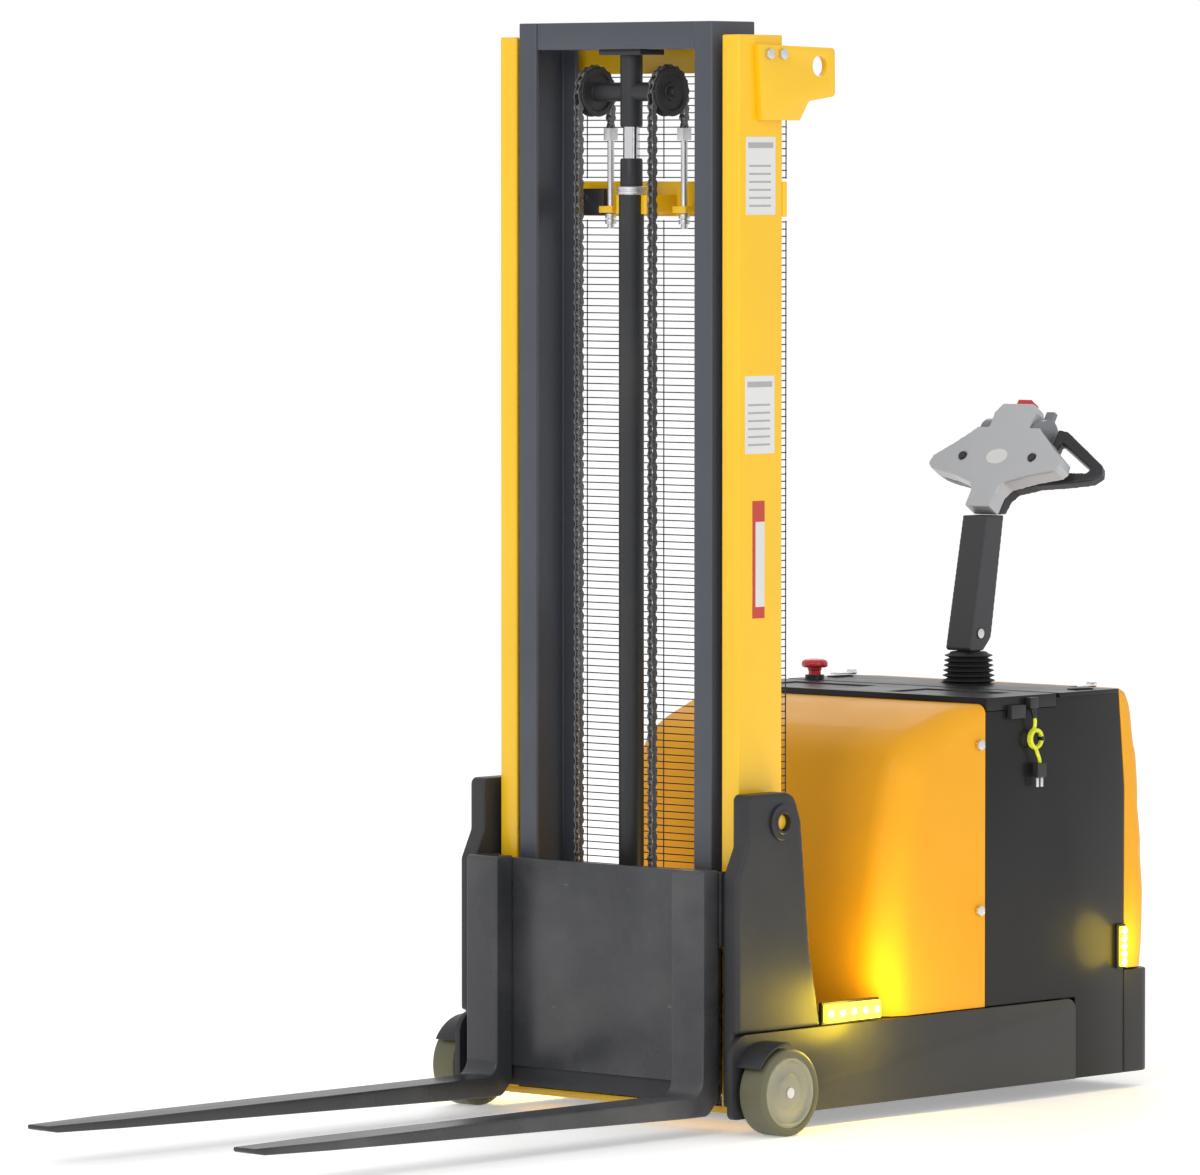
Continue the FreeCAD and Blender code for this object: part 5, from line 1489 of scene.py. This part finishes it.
class STACKER_OT_charger_lead(StackerOperator, bpy.types.Operator):
    """Charger lead with its tied hank, strain relief, socket and plug"""

    bl_idname = "stacker.charger_lead"
    bl_label = "Charger lead"

    def build(self, context):
        def at(x, distance, z):
            return (x, reach(distance), z)

        lead = [at(0.3410, 0.7520, 0.7160), at(0.3450, 0.7500, 0.7070),
                at(0.3490, 0.7490, 0.6980), at(0.3480, 0.7510, 0.6890),
                at(0.3440, 0.7530, 0.6790)]
        turns, steps = 2.5, 30
        for step in range(1, steps):
            angle = math.pi / 2 + 2 * math.pi * turns * step / steps
            wide = 0.0165
            lead.append(at(0.3428 + 0.0066 * step / steps, 0.7550 + wide * math.cos(angle),
                           0.6610 + wide * math.sin(angle)))
        lead += [at(0.3465, 0.7560, 0.6420), at(0.3470, 0.7600, 0.6320),
                 at(0.3475, 0.7640, 0.6250), at(0.3465, 0.7660, 0.6170)]
        curve = bpy.data.curves.new("charger_lead", "CURVE")
        curve.dimensions = "3D"
        spline = curve.splines.new("NURBS")
        spline.points.add(len(lead) - 1)
        # The thickness sits on the points, so that the cord's own box is its true size.
        for point, place in zip(spline.points, lead):
            point.co = (*place, 1.0)
            point.radius = sizes().cord_diameter / 2
        spline.order_u = 3
        spline.use_endpoint_u = True
        spline.resolution_u = 5
        curve.bevel_depth = 1.0
        curve.bevel_resolution = 4
        curve.use_fill_caps = True
        obj = bpy.data.objects.new("charger_lead", curve)
        bpy.context.scene.collection.objects.link(obj)
        curve.materials.append(cord_yellow())
        place_on(obj, "chassis", "yellow_cord", "charger_cord", "cord_hank")
        plug = softened("charger_plug", black_plastic(), 0.0011, 5)
        prongs = self.prongs()
        relief = self.strain_relief(lead)
        tie = self.tie()
        dress("charger_socket", black_plastic(), 0.0012)
        self.length(obj)

    def length(self, obj):
        """Length of the lead's centre line."""
        depth, obj.data.bevel_depth = obj.data.bevel_depth, 0.0
        fill, obj.data.use_fill_caps = obj.data.use_fill_caps, False
        depsgraph = bpy.context.evaluated_depsgraph_get()
        depsgraph.update()
        mesh = bpy.data.meshes.new_from_object(obj.evaluated_get(depsgraph))
        total = sum((mesh.vertices[edge.vertices[0]].co - mesh.vertices[edge.vertices[1]].co).length
                    for edge in mesh.edges)
        bpy.data.meshes.remove(mesh)
        obj.data.bevel_depth = depth
        obj.data.use_fill_caps = fill
        return round(total, 3)

    def strain_relief(self, lead):
        """Tapered rubber sleeve where the lead leaves its socket."""
        start, end = Vector(lead[0]), Vector(lead[0]).lerp(Vector(lead[2]), 1.0)
        axis = (end - start).normalized()
        turn = Vector((0, 0, 1)).rotation_difference(axis).to_matrix().to_4x4()
        bm = bmesh.new()
        profile = [(0.0036, 0.0), (0.0060, 0.0), (0.0062, 0.002)]
        for rib in range(4):
            level = 0.003 + rib * 0.0042
            width = 0.0060 - rib * 0.0004
            profile += [(width, level), (width, level + 0.0022), (width - 0.0009, level + 0.0026),
                        (width - 0.0009, level + 0.0038)]
        profile += [(0.0042, 0.0200), (0.0036, 0.0202), (0.0036, 0.0)]
        lathe(bm, profile, "z", (0, 0, 0), 28)
        bmesh.ops.transform(bm, matrix=Matrix.Translation(start) @ turn, verts=bm.verts)
        relief = from_bmesh("lead_strain_relief", bm, black_plastic(), 40)
        return place_on(relief, "chassis", "black_plastic")

    def prongs(self):
        bm = bmesh.new()
        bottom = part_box("charger_plug")[0][2]
        for near in (0.756, 0.768):
            add_block(bm, (0.3455, reach(near), bottom), (0.3475, reach(near + 0.007),
                      bottom + 0.019), 0.0006)
        blades = from_bmesh("plug_prongs", bm, bright_steel(), 30)
        return place_on(blades, "chassis", "zinc_steel")

    def tie(self):
        """Black band round the turns of the hank."""
        bm = bmesh.new()
        add_block(bm, (0.3392, reach(0.7665), 0.6570), (0.3528, reach(0.7748), 0.6650), 0.0025, 3)
        band = from_bmesh("hank_tie", bm, black_plastic(), 30)
        return place_on(band, "chassis", "black_plastic")


STEPS = (STACKER_OT_stage, STACKER_OT_charger_lead, STACKER_OT_fixed_mast, STACKER_OT_guard,
         STACKER_OT_moving_mast, STACKER_OT_chains, STACKER_OT_carriage, STACKER_OT_wheels,
         STACKER_OT_chassis, STACKER_OT_bodywork, STACKER_OT_tiller)


class STACKER_PT_panel(bpy.types.Panel):
    """Lists the build steps"""

    bl_idname = "STACKER_PT_panel"
    bl_label = "Walkie Stacker"
    bl_space_type = "VIEW_3D"
    bl_region_type = "UI"
    bl_category = "Walkie Stacker"

    def draw(self, context):
        for settings in (context.scene.stacker_sizes, context.scene.stacker_colours):
            for name in settings.__annotations__:
                self.layout.prop(settings, name)
        for step in STEPS:
            self.layout.operator(step.bl_idname)


CLASSES = (StackerSizes, StackerColours, *STEPS, STACKER_PT_panel)


def register():
    for cls in CLASSES:
        bpy.utils.register_class(cls)
    bpy.types.Scene.stacker_sizes = bpy.props.PointerProperty(type=StackerSizes)
    bpy.types.Scene.stacker_colours = bpy.props.PointerProperty(type=StackerColours)


def unregister():
    del bpy.types.Scene.stacker_colours
    del bpy.types.Scene.stacker_sizes
    for cls in reversed(CLASSES):
        bpy.utils.unregister_class(cls)


def main():
    register()
    for step in STEPS:
        group, _, action = step.bl_idname.partition(".")
        getattr(getattr(bpy.ops, group), action)()
    bpy.context.view_layer.update()


if __name__ == "__main__":
    main()
